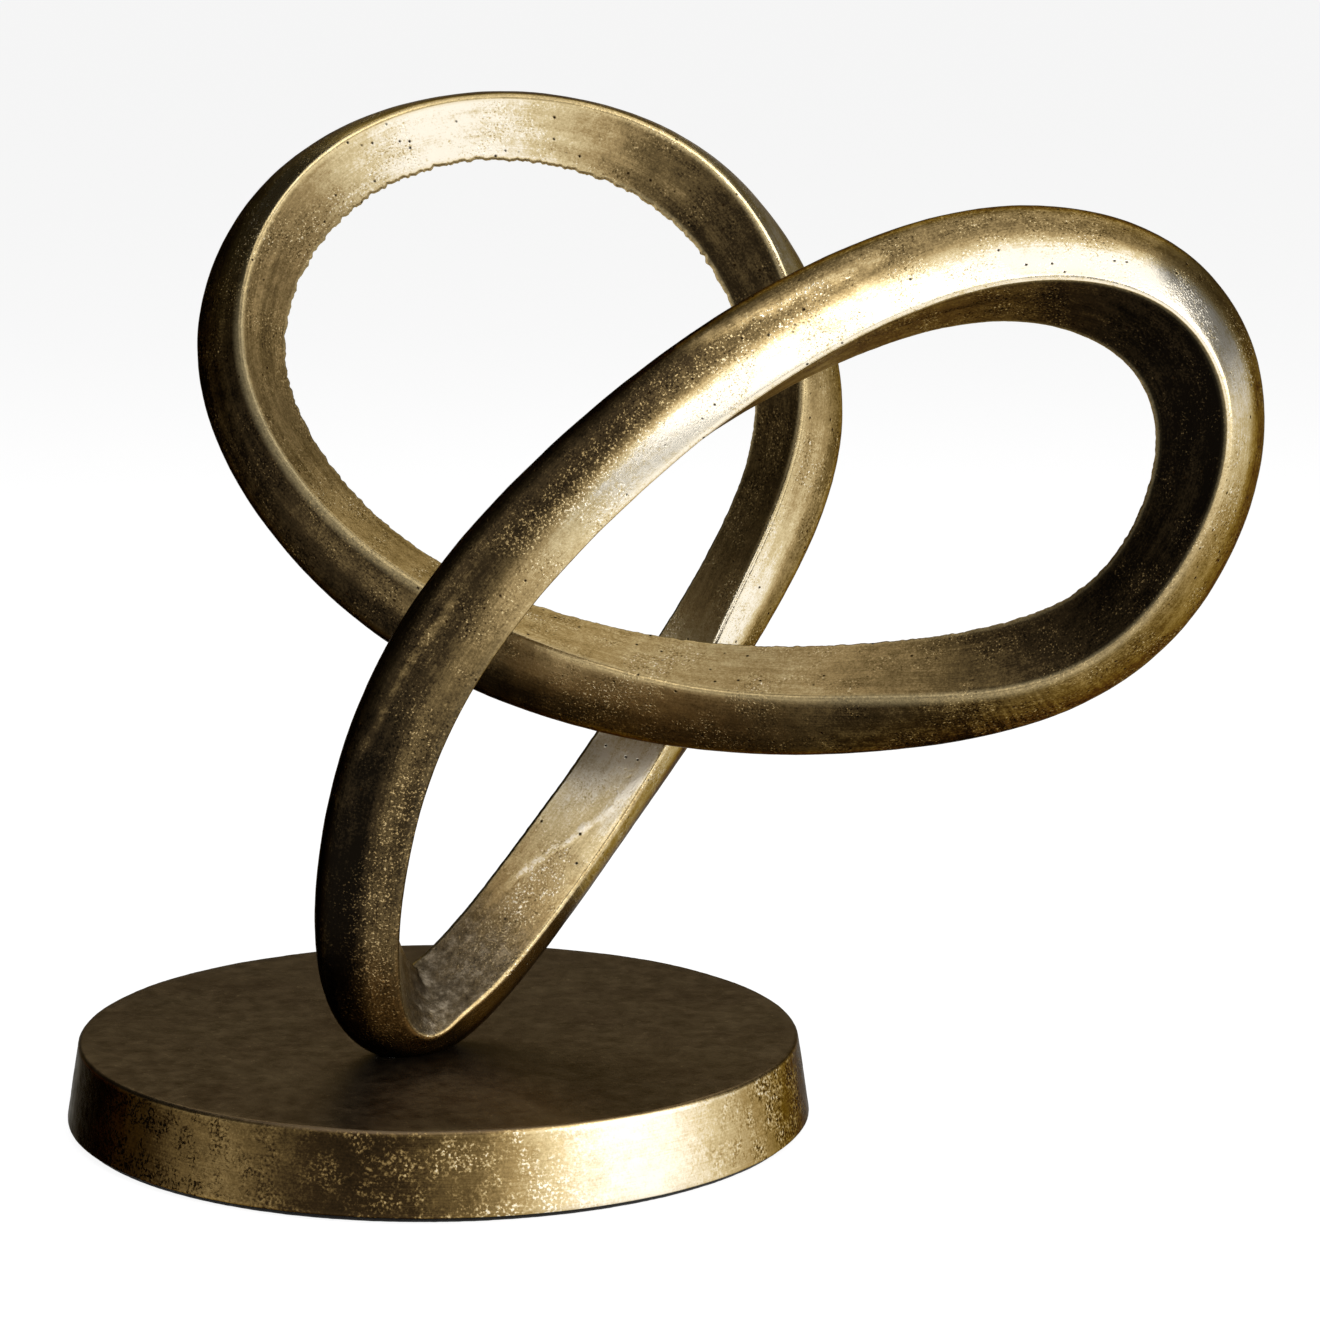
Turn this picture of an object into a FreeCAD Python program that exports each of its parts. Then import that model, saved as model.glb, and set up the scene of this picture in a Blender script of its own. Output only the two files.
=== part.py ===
"""Cast metal knot on a round base: one closed D-shaped strand, joined from three castings."""
import FreeCAD, Part

import math
import os

from FreeCAD import Vector

# Base, a solid round casting with drafted sides
BASE_RADIUS = 100.0
BASE_DRAFT_INSET = 3.4
BASE_THICKNESS = 21.5
BASE_TOP_ROUND = 1.2
BASE_BOTTOM_ROUND = 0.8

# Felt glued under the base
FELT_THICKNESS = 1.5
FELT_INSET = 2.0

# Centre line of the strand, measured from the base's axis
PATH_WIDTH = 250.0
PATH_DEPTH = 72.0
PATH_RISE = 230.0

# Depth ground off the foot's rounded back, where it is seated on the base
SEAT_CUT = 2.5

# Strand: a flat inner face, a rounded back and two crisp edges
STRAND_WIDTH = 22.0
STRAND_THICKNESS = 25.0
STRAND_EDGE_ROUND = 1.2

# Welded joints between the castings
WELD_HALF_WIDTH = 3.0
WELD_DEPTH = 3.5
SPIGOT_RADIUS = 3.5
SPIGOT_LENGTH = 9.0
SPIGOT_RADIAL_GAP = 0.15
SPIGOT_END_GAP = 0.5

# Screws that pull the foot down on the base
SCREW_RADIUS = 3.0
SCREW_LENGTH = 25.0
SCREW_SPACING = 15.0
SCREW_END_CHAMFER = 0.6
HEAD_RADIUS = 5.0
HEAD_HEIGHT = 6.0
HEAD_ROUND = 0.6
KEY_ACROSS_FLATS = 5.0
KEY_DEPTH = 3.0
WASHER_RADIUS = 6.0
WASHER_THICKNESS = 1.6
WASHER_BORE_GAP = 0.2
THREAD_GAP = 0.05
TAPPED_HOLE_SPARE = 2.0
CLEARANCE_HOLE_GAP = 0.3
COUNTERBORE_GAP = 0.5
COUNTERBORE_DEPTH = 9.0

# Overrun of every cutting tool past the face that it starts from
OVERRUN = 5.0

# Shares of the thickness and of the half width that shape the section
FLAT_OFFSET_SHARE = 0.42
CROWN_RADIUS_SHARE = 0.75

# Places of the strand's stations, foot first, then up the front leg, round the right loop,
# along the bar, round the left loop and down the back strut:
# across by PATH_WIDTH, away from the front by PATH_DEPTH, up by PATH_RISE
STATION_SHARES = [
    (-0.004, -0.28, -0.004),
    (-0.068, -0.54, 0.076),
    (-0.046, -0.65, 0.286),
    (0.040, -0.65, 0.478),
    (0.180, -0.60, 0.640),
    (0.352, -0.57, 0.776),
    (0.562, -0.58, 0.864),
    (0.738, -0.61, 0.824),
    (0.798, -0.61, 0.674),
    (0.744, -0.56, 0.506),
    (0.630, -0.47, 0.408),
    (0.464, -0.36, 0.368),
    (0.254, -0.22, 0.366),
    (0.030, -0.06, 0.432),
    (-0.134, 0.10, 0.560),
    (-0.212, 0.23, 0.738),
    (-0.150, 0.31, 0.914),
    (0.018, 0.35, 1.002),
    (0.214, 0.37, 0.972),
    (0.342, 0.38, 0.846),
    (0.388, 0.38, 0.650),
    (0.318, 0.32, 0.448),
    (0.224, 0.20, 0.286),
    (0.118, -0.01, 0.130),
]

# At each station: the flat face's turn from the inside of the bend towards the front, in
# degrees, then the strand's width and thickness as shares of their named sizes
STATION_TURNS = [
    47, -2, -14, -13, -1, 13, 29, 46, 51, 47, 45, 32, 25, 15, 21, 35, 62, 81, 80, 67, 42, 41, 59, 63,
]
SECTION_SHARES = [
    (1.00, 0.91), (0.94, 0.85), (0.89, 0.88), (0.88, 0.92), (0.89, 0.93), (0.96, 0.96),
    (1.06, 1.03), (1.14, 1.12), (1.01, 1.09), (0.90, 1.05), (0.98, 1.05), (0.99, 1.05),
    (0.97, 1.03), (0.91, 0.96), (0.85, 0.86), (0.83, 0.86), (0.82, 0.88), (0.80, 0.87),
    (0.86, 0.89), (0.87, 0.90), (0.84, 0.89), (0.83, 0.90), (0.92, 0.92), (0.98, 0.93),
]

# Where the joints lie along the strand, as shares of the way round
BAR_SEAM_SHARE = 0.427
TOP_SEAM_SHARE = 0.757
FOOT_SEAM_SHARE = 0.955

SECTIONS_PER_STATION = 5
SETTLING_ROUNDS = 40

# Part of the strand, on each side of the first station, that can be its lowest
FOOT_REACH_SHARE = 0.05
FOOT_SAMPLES = 50

SEAT_HEIGHT = FELT_THICKNESS + BASE_THICKNESS
FRONT = Vector(0, -1, 0)
UP = Vector(0, 0, 1)


def closed_curve(points):
    """Closed cubic curve of even curvature through the points, at equal steps of its parameter.

    A point of such a curve is a sixth of the poles beside it and two thirds of its own pole, so
    the poles are settled from the points in a few rounds.
    """
    count = len(points)
    poles = list(points)
    for _ in range(SETTLING_ROUNDS):
        for place in range(count):
            beside = poles[place - 1] + poles[(place + 1) % count]
            poles[place] = points[place] * 1.5 - beside * 0.25
    curve = Part.BSplineCurve()
    curve.buildFromPolesMultsKnots(
        poles[-1:] + poles[:-1],
        [1] * (count + 1),
        [step / count for step in range(count + 1)],
        True,
        3,
    )
    return curve


def path_points():
    """Stations of the centre line in millimetres, before the foot is set on the base."""
    return [
        Vector(across * PATH_WIDTH, away * PATH_DEPTH, up * PATH_RISE)
        for across, away, up in STATION_SHARES
    ]


def section_points():
    """Turn, width and thickness of each station, carried as the three values of a vector."""
    return [
        Vector(turn, wide * STRAND_WIDTH, thick * STRAND_THICKNESS)
        for turn, (wide, thick) in zip(STATION_TURNS, SECTION_SHARES)
    ]


PATH = closed_curve(path_points())
SECTIONS = closed_curve(section_points())


class StrandFrame:
    """Place, axes and size of the strand at one share of the way round."""

    def __init__(self, share):
        self.share = share % 1.0
        turn, self.width, self.thickness = SECTIONS.value(self.share)
        self.origin = PATH.value(self.share)
        self.along = PATH.tangent(self.share)[0]
        self.along.normalize()
        inside = self.along.cross(FRONT)
        inside.normalize()
        towards_front = inside.cross(self.along)
        angle = math.radians(turn)
        self.flat_normal = inside * math.cos(angle) + towards_front * math.sin(angle)
        self.side = inside * -math.sin(angle) + towards_front * math.cos(angle)

    def point(self, sideways, back, inset=0.0):
        """Point of the section: sideways from its middle, back from the flat face."""
        depth = self.thickness * FLAT_OFFSET_SHARE - inset - back
        return self.origin + self.side * sideways + self.flat_normal * depth

    def shares_for(self, length):
        """Share of the way round that a short length takes here."""
        return length / PATH.getDN(self.share, 1).Length


def d_wire(frame, inset=0.0):
    """Closed D-shaped outline: flat face, two rounded edges, two flanks and the crown."""
    half = frame.width / 2 - inset
    depth = frame.thickness - 2 * inset
    crown = half * CROWN_RADIUS_SHARE
    flank = (half**2 + (depth - crown)**2 - crown**2) / (2 * (half - crown))
    edge = STRAND_EDGE_ROUND
    edge_side = math.sqrt((flank - edge)**2 - edge**2) - (flank - half)
    edge_turn = math.asin(edge / (flank - edge))
    crown_turn = math.atan2(depth - crown, flank - half)

    def flank_point(turn, sign):
        return (sign * (half - flank + flank * math.cos(turn)), flank * math.sin(turn))

    def edge_point(turn, sign):
        return (sign * (edge_side + edge * math.cos(turn)), edge + edge * math.sin(turn))

    def place(pair):
        return frame.point(pair[0], pair[1], inset)

    edge_middle = (edge_turn - math.pi / 2) / 2
    flank_middle = (edge_turn + crown_turn) / 2
    left_flat, right_flat = edge_point(-math.pi / 2, -1), edge_point(-math.pi / 2, 1)
    left_edge, right_edge = flank_point(edge_turn, -1), flank_point(edge_turn, 1)
    left_crown, right_crown = flank_point(crown_turn, -1), flank_point(crown_turn, 1)

    def arc(start, middle, end):
        return Part.Arc(place(start), place(middle), place(end)).toShape()

    return Part.Wire([
        Part.LineSegment(place(left_flat), place(right_flat)).toShape(),
        arc(right_flat, edge_point(edge_middle, 1), right_edge),
        arc(right_edge, flank_point(flank_middle, 1), right_crown),
        arc(right_crown, (0, depth), left_crown),
        arc(left_crown, flank_point(flank_middle, -1), left_edge),
        arc(left_edge, edge_point(edge_middle, -1), left_flat),
    ])


def foot_point():
    """Lowest point of the strand's outline near the foot, and the strand's direction there."""
    lowest = None
    for step in range(-FOOT_SAMPLES, FOOT_SAMPLES + 1):
        frame = StrandFrame(FOOT_REACH_SHARE * step / FOOT_SAMPLES)
        for point in d_wire(frame).discretize(FOOT_SAMPLES):
            if lowest is None or point.z < lowest[0].z:
                lowest = (point, frame.along)
    return lowest


SEAT_POINT, SEAT_ALONG = foot_point()
PATH.translate(UP * (SEAT_HEIGHT - SEAT_CUT - SEAT_POINT.z))


def skin(wires, ruled=False):
    """Faces that run through a row of outlines, open at both ends."""
    return Part.makeLoft(wires, False, ruled).Faces


def closed_solid(faces):
    """Solid inside faces that meet edge to edge."""
    shell = Part.Shell(faces)
    shell.sewShape()
    solid = Part.makeSolid(shell)
    if solid.Volume < 0:
        solid.reverse()
    return solid


class Seam:
    """Butt joint across the strand, with a weld groove all round it."""

    def __init__(self, share):
        frame = StrandFrame(share)
        half = frame.shares_for(WELD_HALF_WIDTH)
        self.share = share
        self.frame = frame
        self.before = share - half
        self.after = share + half
        self.root = d_wire(frame, WELD_DEPTH)
        self.crest = d_wire(frame)
        self.before_wire = d_wire(StrandFrame(self.before))
        self.after_wire = d_wire(StrandFrame(self.after))

    def nose(self, wire):
        """Faces of a casting's end, tapered from its full outline to the root of the groove."""
        return skin([wire, self.root], True) + [Part.Face(self.root)]

    def spigot(self, radial_gap=0.0, end_gap=0.0):
        """Round peg through the joint, or with gaps the socket that it fits in."""
        return Part.makeCylinder(
            SPIGOT_RADIUS + radial_gap,
            SPIGOT_LENGTH + end_gap,
            self.frame.origin,
            self.frame.along,
        )

    def bead(self):
        """Weld metal that fills the groove, ground flush with the strand."""
        outside = skin([self.before_wire, self.crest, self.after_wire])
        before_wall = skin([self.before_wire, self.root], True)
        after_wall = skin([self.after_wire, self.root], True)
        return closed_solid(outside + before_wall + after_wall)


def casting(first, last):
    """One casting of the strand, from the seam where it starts to the seam where it ends.

    Its sections stand closer together towards the ends, where a loft holds its course least.
    """
    length = (last.before - first.after) % 1.0
    count = round(length * len(STATION_SHARES) * SECTIONS_PER_STATION)
    wires = [first.after_wire]
    for step in range(1, count):
        reached = (1 - math.cos(math.pi * step / count)) / 2
        wires.append(d_wire(StrandFrame(first.after + length * reached)))
    wires.append(last.before_wire)
    ends = first.nose(first.after_wire) + last.nose(last.before_wire)
    strand = closed_solid(skin(wires) + ends)
    return strand.fuse(last.spigot()).cut(first.spigot(SPIGOT_RADIAL_GAP, SPIGOT_END_GAP))


def screw_places():
    """Axes of the two screws on the base's plan, along the foot."""
    middle = Vector(SEAT_POINT.x, SEAT_POINT.y, 0)
    along = Vector(SEAT_ALONG.x, SEAT_ALONG.y, 0)
    along.normalize()
    return [middle + along * SCREW_SPACING / 2, middle - along * SCREW_SPACING / 2]


COUNTERBORE_TOP = FELT_THICKNESS + COUNTERBORE_DEPTH
HEAD_TOP = COUNTERBORE_TOP - WASHER_THICKNESS
SCREW_TIP = HEAD_TOP + SCREW_LENGTH


def upright(place, radius, low, high):
    """Upright cylinder on a place of the plan."""
    return Part.makeCylinder(radius, high - low, Vector(place.x, place.y, low), UP)


def front_casting(foot_seam, bar_seam):
    """Foot, front leg, arm and right loop, with the foot's seat and its tapped holes."""
    strand = casting(foot_seam, bar_seam)
    reach = PATH_WIDTH + BASE_RADIUS
    below = Part.makeBox(2 * reach, 2 * reach, reach, Vector(-reach, -reach, SEAT_HEIGHT - reach))
    seated = strand.cut(below)
    holes = [
        upright(
            place,
            SCREW_RADIUS + THREAD_GAP,
            SEAT_HEIGHT - OVERRUN,
            SCREW_TIP + TAPPED_HOLE_SPARE,
        )
        for place in screw_places()
    ]
    return seated.cut(holes)


def base_plate():
    """Solid round base, drafted on its side, drilled and counterbored for the screws."""
    top_radius = BASE_RADIUS - BASE_DRAFT_INSET
    outline = Part.makePolygon([
        Vector(0, 0, FELT_THICKNESS),
        Vector(BASE_RADIUS, 0, FELT_THICKNESS),
        Vector(top_radius, 0, SEAT_HEIGHT),
        Vector(0, 0, SEAT_HEIGHT),
        Vector(0, 0, FELT_THICKNESS),
    ])
    disc = Part.Face(outline).revolve(Vector(0, 0, 0), UP, 360)
    rims = {FELT_THICKNESS: BASE_BOTTOM_ROUND, SEAT_HEIGHT: BASE_TOP_ROUND}
    for height, radius in rims.items():
        edges = [
            edge for edge in disc.Edges
            if isinstance(edge.Curve, Part.Circle) and abs(edge.Curve.Center.z - height) < radius / 2
            and edge.Curve.Radius > top_radius / 2
        ]
        disc = disc.makeFillet(radius, edges)
    cuts = []
    for place in screw_places():
        cuts.append(upright(
            place,
            SCREW_RADIUS + CLEARANCE_HOLE_GAP,
            FELT_THICKNESS,
            SEAT_HEIGHT + OVERRUN,
        ))
        cuts.append(upright(
            place,
            WASHER_RADIUS + COUNTERBORE_GAP,
            FELT_THICKNESS - OVERRUN,
            COUNTERBORE_TOP,
        ))
    return disc.cut(cuts)


def felt_pad():
    """Felt disc under the base, on which the ornament stands."""
    return Part.makeCylinder(BASE_RADIUS - FELT_INSET, FELT_THICKNESS)


def foot_screw(place):
    """Socket head screw, standing on its head in the counterbore."""
    low = HEAD_TOP - HEAD_HEIGHT
    head = upright(place, HEAD_RADIUS, low, HEAD_TOP)
    rim = [edge for edge in head.Edges if abs(edge.BoundBox.ZMax - low) < HEAD_ROUND / 2]
    head = head.makeFillet(HEAD_ROUND, rim)
    shank = upright(place, SCREW_RADIUS, HEAD_TOP, SCREW_TIP)
    tip = [edge for edge in shank.Edges if abs(edge.BoundBox.ZMin - SCREW_TIP) < SCREW_END_CHAMFER / 2]
    shank = shank.makeChamfer(SCREW_END_CHAMFER, tip)
    corner = KEY_ACROSS_FLATS / math.sqrt(3)
    corners = [
        Vector(
            place.x + corner * math.cos(step * math.pi / 3),
            place.y + corner * math.sin(step * math.pi / 3),
            low,
        )
        for step in range(7)
    ]
    key = Part.Face(Part.makePolygon(corners)).extrude(UP * KEY_DEPTH)
    return head.fuse(shank).cut(key)


def washer(place):
    """Flat washer between a screw's head and the base."""
    disc = upright(place, WASHER_RADIUS, HEAD_TOP, COUNTERBORE_TOP)
    bore = upright(place, SCREW_RADIUS + WASHER_BORE_GAP, HEAD_TOP - OVERRUN, COUNTERBORE_TOP + OVERRUN)
    return disc.cut(bore)


def build():
    """Every piece by the name of its node."""
    bar_seam = Seam(BAR_SEAM_SHARE)
    top_seam = Seam(TOP_SEAM_SHARE)
    foot_seam = Seam(FOOT_SEAM_SHARE)
    places = screw_places()
    return {
        "base_plate": base_plate(),
        "felt_pad": felt_pad(),
        "foot_screws": Part.makeCompound([foot_screw(place) for place in places]),
        "foot_screw_washers": Part.makeCompound([washer(place) for place in places]),
        "front_casting": front_casting(foot_seam, bar_seam),
        "left_loop_casting": casting(bar_seam, top_seam),
        "back_strut_casting": casting(top_seam, foot_seam),
        "bar_weld_bead": bar_seam.bead(),
        "top_weld_bead": top_seam.bead(),
        "foot_weld_bead": foot_seam.bead(),
    }


def main():
    """Write one STEP file for each node."""
    os.makedirs("parts", exist_ok=True)
    for name, shape in build().items():
        shape.exportStep(os.path.join("parts", name + ".step"))
        box = shape.BoundBox
        print(
            name, "solids", len(shape.Solids), "valid", shape.isValid(),
            "volume", round(shape.Volume / 1000, 2), "cm3",
            "box", [round(value, 1) for value in (box.XMin, box.YMin, box.ZMin)],
            [round(value, 1) for value in (box.XMax, box.YMax, box.ZMax)],
        )


main()
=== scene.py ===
"""Looks of a cast knot with an antique brass finish on a round base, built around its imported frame."""
import logging
import math
from collections.abc import Callable
from dataclasses import dataclass
from enum import Enum
from functools import partial

import bmesh
import bpy
import numpy as np
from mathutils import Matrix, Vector


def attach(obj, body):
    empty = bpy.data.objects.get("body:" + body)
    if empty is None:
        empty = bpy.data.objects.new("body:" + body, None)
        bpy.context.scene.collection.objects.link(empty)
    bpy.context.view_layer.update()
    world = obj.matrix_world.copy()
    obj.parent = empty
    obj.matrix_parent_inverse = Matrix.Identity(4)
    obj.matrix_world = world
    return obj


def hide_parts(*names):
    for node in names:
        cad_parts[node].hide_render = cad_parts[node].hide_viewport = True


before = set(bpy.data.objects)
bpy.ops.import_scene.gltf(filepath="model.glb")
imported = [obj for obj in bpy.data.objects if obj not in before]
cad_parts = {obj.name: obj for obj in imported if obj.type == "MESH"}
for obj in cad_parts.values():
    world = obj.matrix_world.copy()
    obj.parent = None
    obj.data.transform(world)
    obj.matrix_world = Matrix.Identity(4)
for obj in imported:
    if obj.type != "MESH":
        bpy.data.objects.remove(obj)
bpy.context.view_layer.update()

MM = 0.001
BODY = "root"
LOG = logging.getLogger("knot")

MATH, VECTOR, WHOLE = "ShaderNodeMath", "ShaderNodeVectorMath", "FunctionNodeIntegerMath"
RANGE, NOISE, MIX, RAMP = "ShaderNodeMapRange", "ShaderNodeTexNoise", "ShaderNodeMix", "ShaderNodeValToRGB"
APART, JOINED, ATTRIBUTE = "ShaderNodeSeparateXYZ", "ShaderNodeCombineXYZ", "ShaderNodeAttribute"
NAMED, STORE = "GeometryNodeInputNamedAttribute", "GeometryNodeStoreNamedAttribute"

Source = bpy.types.Node | bpy.types.NodeSocket | float
Adder = Callable[..., bpy.types.Node]
Stops = tuple[tuple[float, str], ...]
Place = tuple[float, float, float]
Line = tuple[Place, Place, float, float]
Shares = tuple[tuple[str, float], ...]


def linear(colour: str) -> tuple[float, float, float, float]:
    """Turns an sRGB hex colour into linear values.

    Args:
        colour: Six hex digits after a hash sign.

    Returns:
        Linear red, green and blue, and full opacity.
    """
    parts = [int(colour[place:place + 2], 16) / 255 for place in (1, 3, 5)]
    red, green, blue = (
        part / 12.92 if part <= 0.04045 else ((part + 0.055) / 1.055) ** 2.4 for part in parts
    )
    return red, green, blue, 1.0


def per_mm(size: float) -> float:
    """Texture scale at which one feature is about the given size in millimetres."""
    return 1 / (size * MM)


def rise(value: float, start: float, end: float) -> float:
    """How far a value is on the way from a start to an end, from nought to one."""
    return max(0.0, min(1.0, (value - start) / (end - start)))


def fill(node: bpy.types.Node, inputs: dict[str | int, Source] | tuple[Source, ...]) -> None:
    """Sets or links a node's inputs.

    Args:
        node: Node that takes them.
        inputs: Values by the input's name or place, or in order. A socket is linked, and a node by the first
            of its outputs in use.
    """
    for key, value in inputs.items() if isinstance(inputs, dict) else enumerate(inputs):
        if isinstance(value, bpy.types.Node):
            value = next(socket for socket in value.outputs if socket.enabled)
        if isinstance(value, bpy.types.NodeSocket):
            node.id_data.links.new(value, node.inputs[key])
        else:
            node.inputs[key].default_value = value


def add(tree: bpy.types.NodeTree, kind: str, inputs: dict | tuple = (), **settings: object) -> bpy.types.Node:
    """Adds a node with its settings, values and links.

    Args:
        tree: Node tree that the node goes in.
        kind: Blender's name of the node type.
        inputs: What the node's inputs take.
        settings: Properties of the node.

    Returns:
        The new node.
    """
    node = tree.nodes.new(kind)
    for name, value in settings.items():
        setattr(node, name, value)
    fill(node, inputs)
    return node


def set_ramp(node: bpy.types.Node, stops: Stops) -> bpy.types.Node:
    """Gives a colour ramp its stops.

    Args:
        node: Colour ramp node.
        stops: Place and hex colour of each stop, in order.

    Returns:
        The same node.
    """
    elements = node.color_ramp.elements
    while len(elements) > 1:
        elements.remove(elements[-1])
    for number, (place, colour) in enumerate(stops):
        element = elements[0] if number == 0 else elements.new(place)
        element.position = place
        element.color = linear(colour)
    return node


def total(put: Adder, start: Source, sources: dict[str, Source], shares: Shares) -> Source:
    """Adds the nodes that add shares of named sources to a start.

    Args:
        put: Adds a node to the tree.
        start: What the sources are added to.
        sources: Sources by name.
        shares: Name and share of each source that counts.

    Returns:
        The sum.
    """
    for label, share in shares:
        start = put(MATH, (sources[label], share, start), operation="MULTIPLY_ADD")
    return start


def show_lines(put: Adder, at: Source, rows: tuple[Line, ...], core: float = 0.0) -> Source:
    """Adds the nodes that show lines in space, each strongest along its middle.

    Args:
        put: Adds a node to the tree.
        at: The point, in metres.
        rows: Both ends and half width of each line in mm, and its strength.
        core: Share of the half width that shows in full.

    Returns:
        The greatest strength at the point.
    """
    shown = 0.0
    for start, end, half, gain in rows:
        reach = (Vector(end) - Vector(start)) * MM
        past = put(VECTOR, (at, Vector(start) * MM), operation="SUBTRACT")
        share = put(VECTOR, (past, reach / reach.length_squared), operation="DOT_PRODUCT")
        foot = put(VECTOR, {0: reach, "Scale": put("ShaderNodeClamp", (share,))}, operation="SCALE")
        off = put(VECTOR, (past, foot), operation="DISTANCE")
        line = put(RANGE, (off, half * MM, core * half * MM, 0.0, gain), interpolation_type="SMOOTHSTEP")
        shown = put(MATH, (shown, line), operation="MAXIMUM")
    return shown


def start_finish(name: str) -> tuple[bpy.types.Material, Adder, bpy.types.NodeSocket]:
    """Starts a material.

    Args:
        name: Name of the material.

    Returns:
        The material, what adds a node to it, and the object's own coordinates.
    """
    made = bpy.data.materials.new(name)
    made.use_nodes = True
    put = partial(add, made.node_tree)
    return made, put, put("ShaderNodeTexCoord").outputs["Object"]


def end_finish(made: bpy.types.Material, inputs: dict[str, Source]) -> bpy.types.Material:
    """Gives a material's shader its inputs, and returns the material."""
    fill(made.node_tree.nodes["Principled BSDF"], inputs)
    return made


class Zone(Enum):
    """Runs of the strand's D-shaped outline, in the order of a row's points."""

    FLAT = 0
    EDGE = 1
    FLANK = 2
    CROWN = 3


# Finishes


@dataclass(frozen=True)
class PlatedBrass:
    """What both brass finishes share: patterns of real sizes swing a tone, which gives the colour."""

    name: str
    seed: float
    edge_tint: str
    stops: Stops
    # Size of each pattern in mm, or its length and width on the skin, then its detail and roughness
    patterns: tuple[tuple[str, float | tuple[float, float], float, float], ...]
    # How far each pattern swings the tone either way, what else adds to it, and the relief in mm
    swings: Shares
    gains: Shares
    relief: Shares

    def start(self, values: str) -> tuple[bpy.types.Material, Adder, dict[str, Source]]:
        """Starts the material with its patterns.

        Args:
            values: Names of the mesh's own values that the finish reads.

        Returns:
            The material, what adds a node to it, and its sources by name.
        """
        made, put, at = start_finish(self.name)
        laid = {label: put(ATTRIBUTE, attribute_name=label).outputs["Fac"] for label in values.split()}
        laid["at"] = at
        skin = put(ATTRIBUTE, attribute_name="skin").outputs["Vector"]
        for label, size, detail, rough in self.patterns:
            where, scale = at, 1.0
            if isinstance(size, tuple):
                sizes = (per_mm(size[0]), per_mm(size[1]), 1.0)
                where = put("ShaderNodeMapping", {"Vector": skin, "Scale": sizes})
            else:
                scale = per_mm(size)
            laid[label] = put(NOISE, {
                "Vector": where, "Scale": scale, "Detail": detail, "Roughness": rough, "W": self.seed,
            }, noise_dimensions="4D")
        return made, put, laid

    def tone(self, put: Adder, laid: dict[str, Source]) -> Source:
        """Adds the tone, from dark patina and painted shade to bright metal and painted highlight: the rub, swung and
        marked.
        """
        middle = put(MATH, (laid["rubbed"], sum(share for _, share in self.swings) / 2), operation="SUBTRACT")
        return total(put, middle, laid, self.swings + self.gains)

    def end(self, made: bpy.types.Material, put: Adder, laid: dict[str, Source], colour: Source,
            rough: Source) -> bpy.types.Material:
        """Adds the relief and gives the shader what it needs.

        Args:
            made: Material that was started.
            put: Adds a node to it.
            laid: Its sources by name.
            colour: Colour of the metal.
            rough: Roughness of the metal.

        Returns:
            The finished material.
        """
        height = total(put, 0.0, laid, self.relief)
        return end_finish(made, {
            "Base Color": colour, "Roughness": rough, "Metallic": 1.0, "Specular Tint": linear(self.edge_tint),
            "Normal": put("ShaderNodeBump", {"Strength": 1.0, "Distance": MM, "Height": height}),
        })


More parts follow.
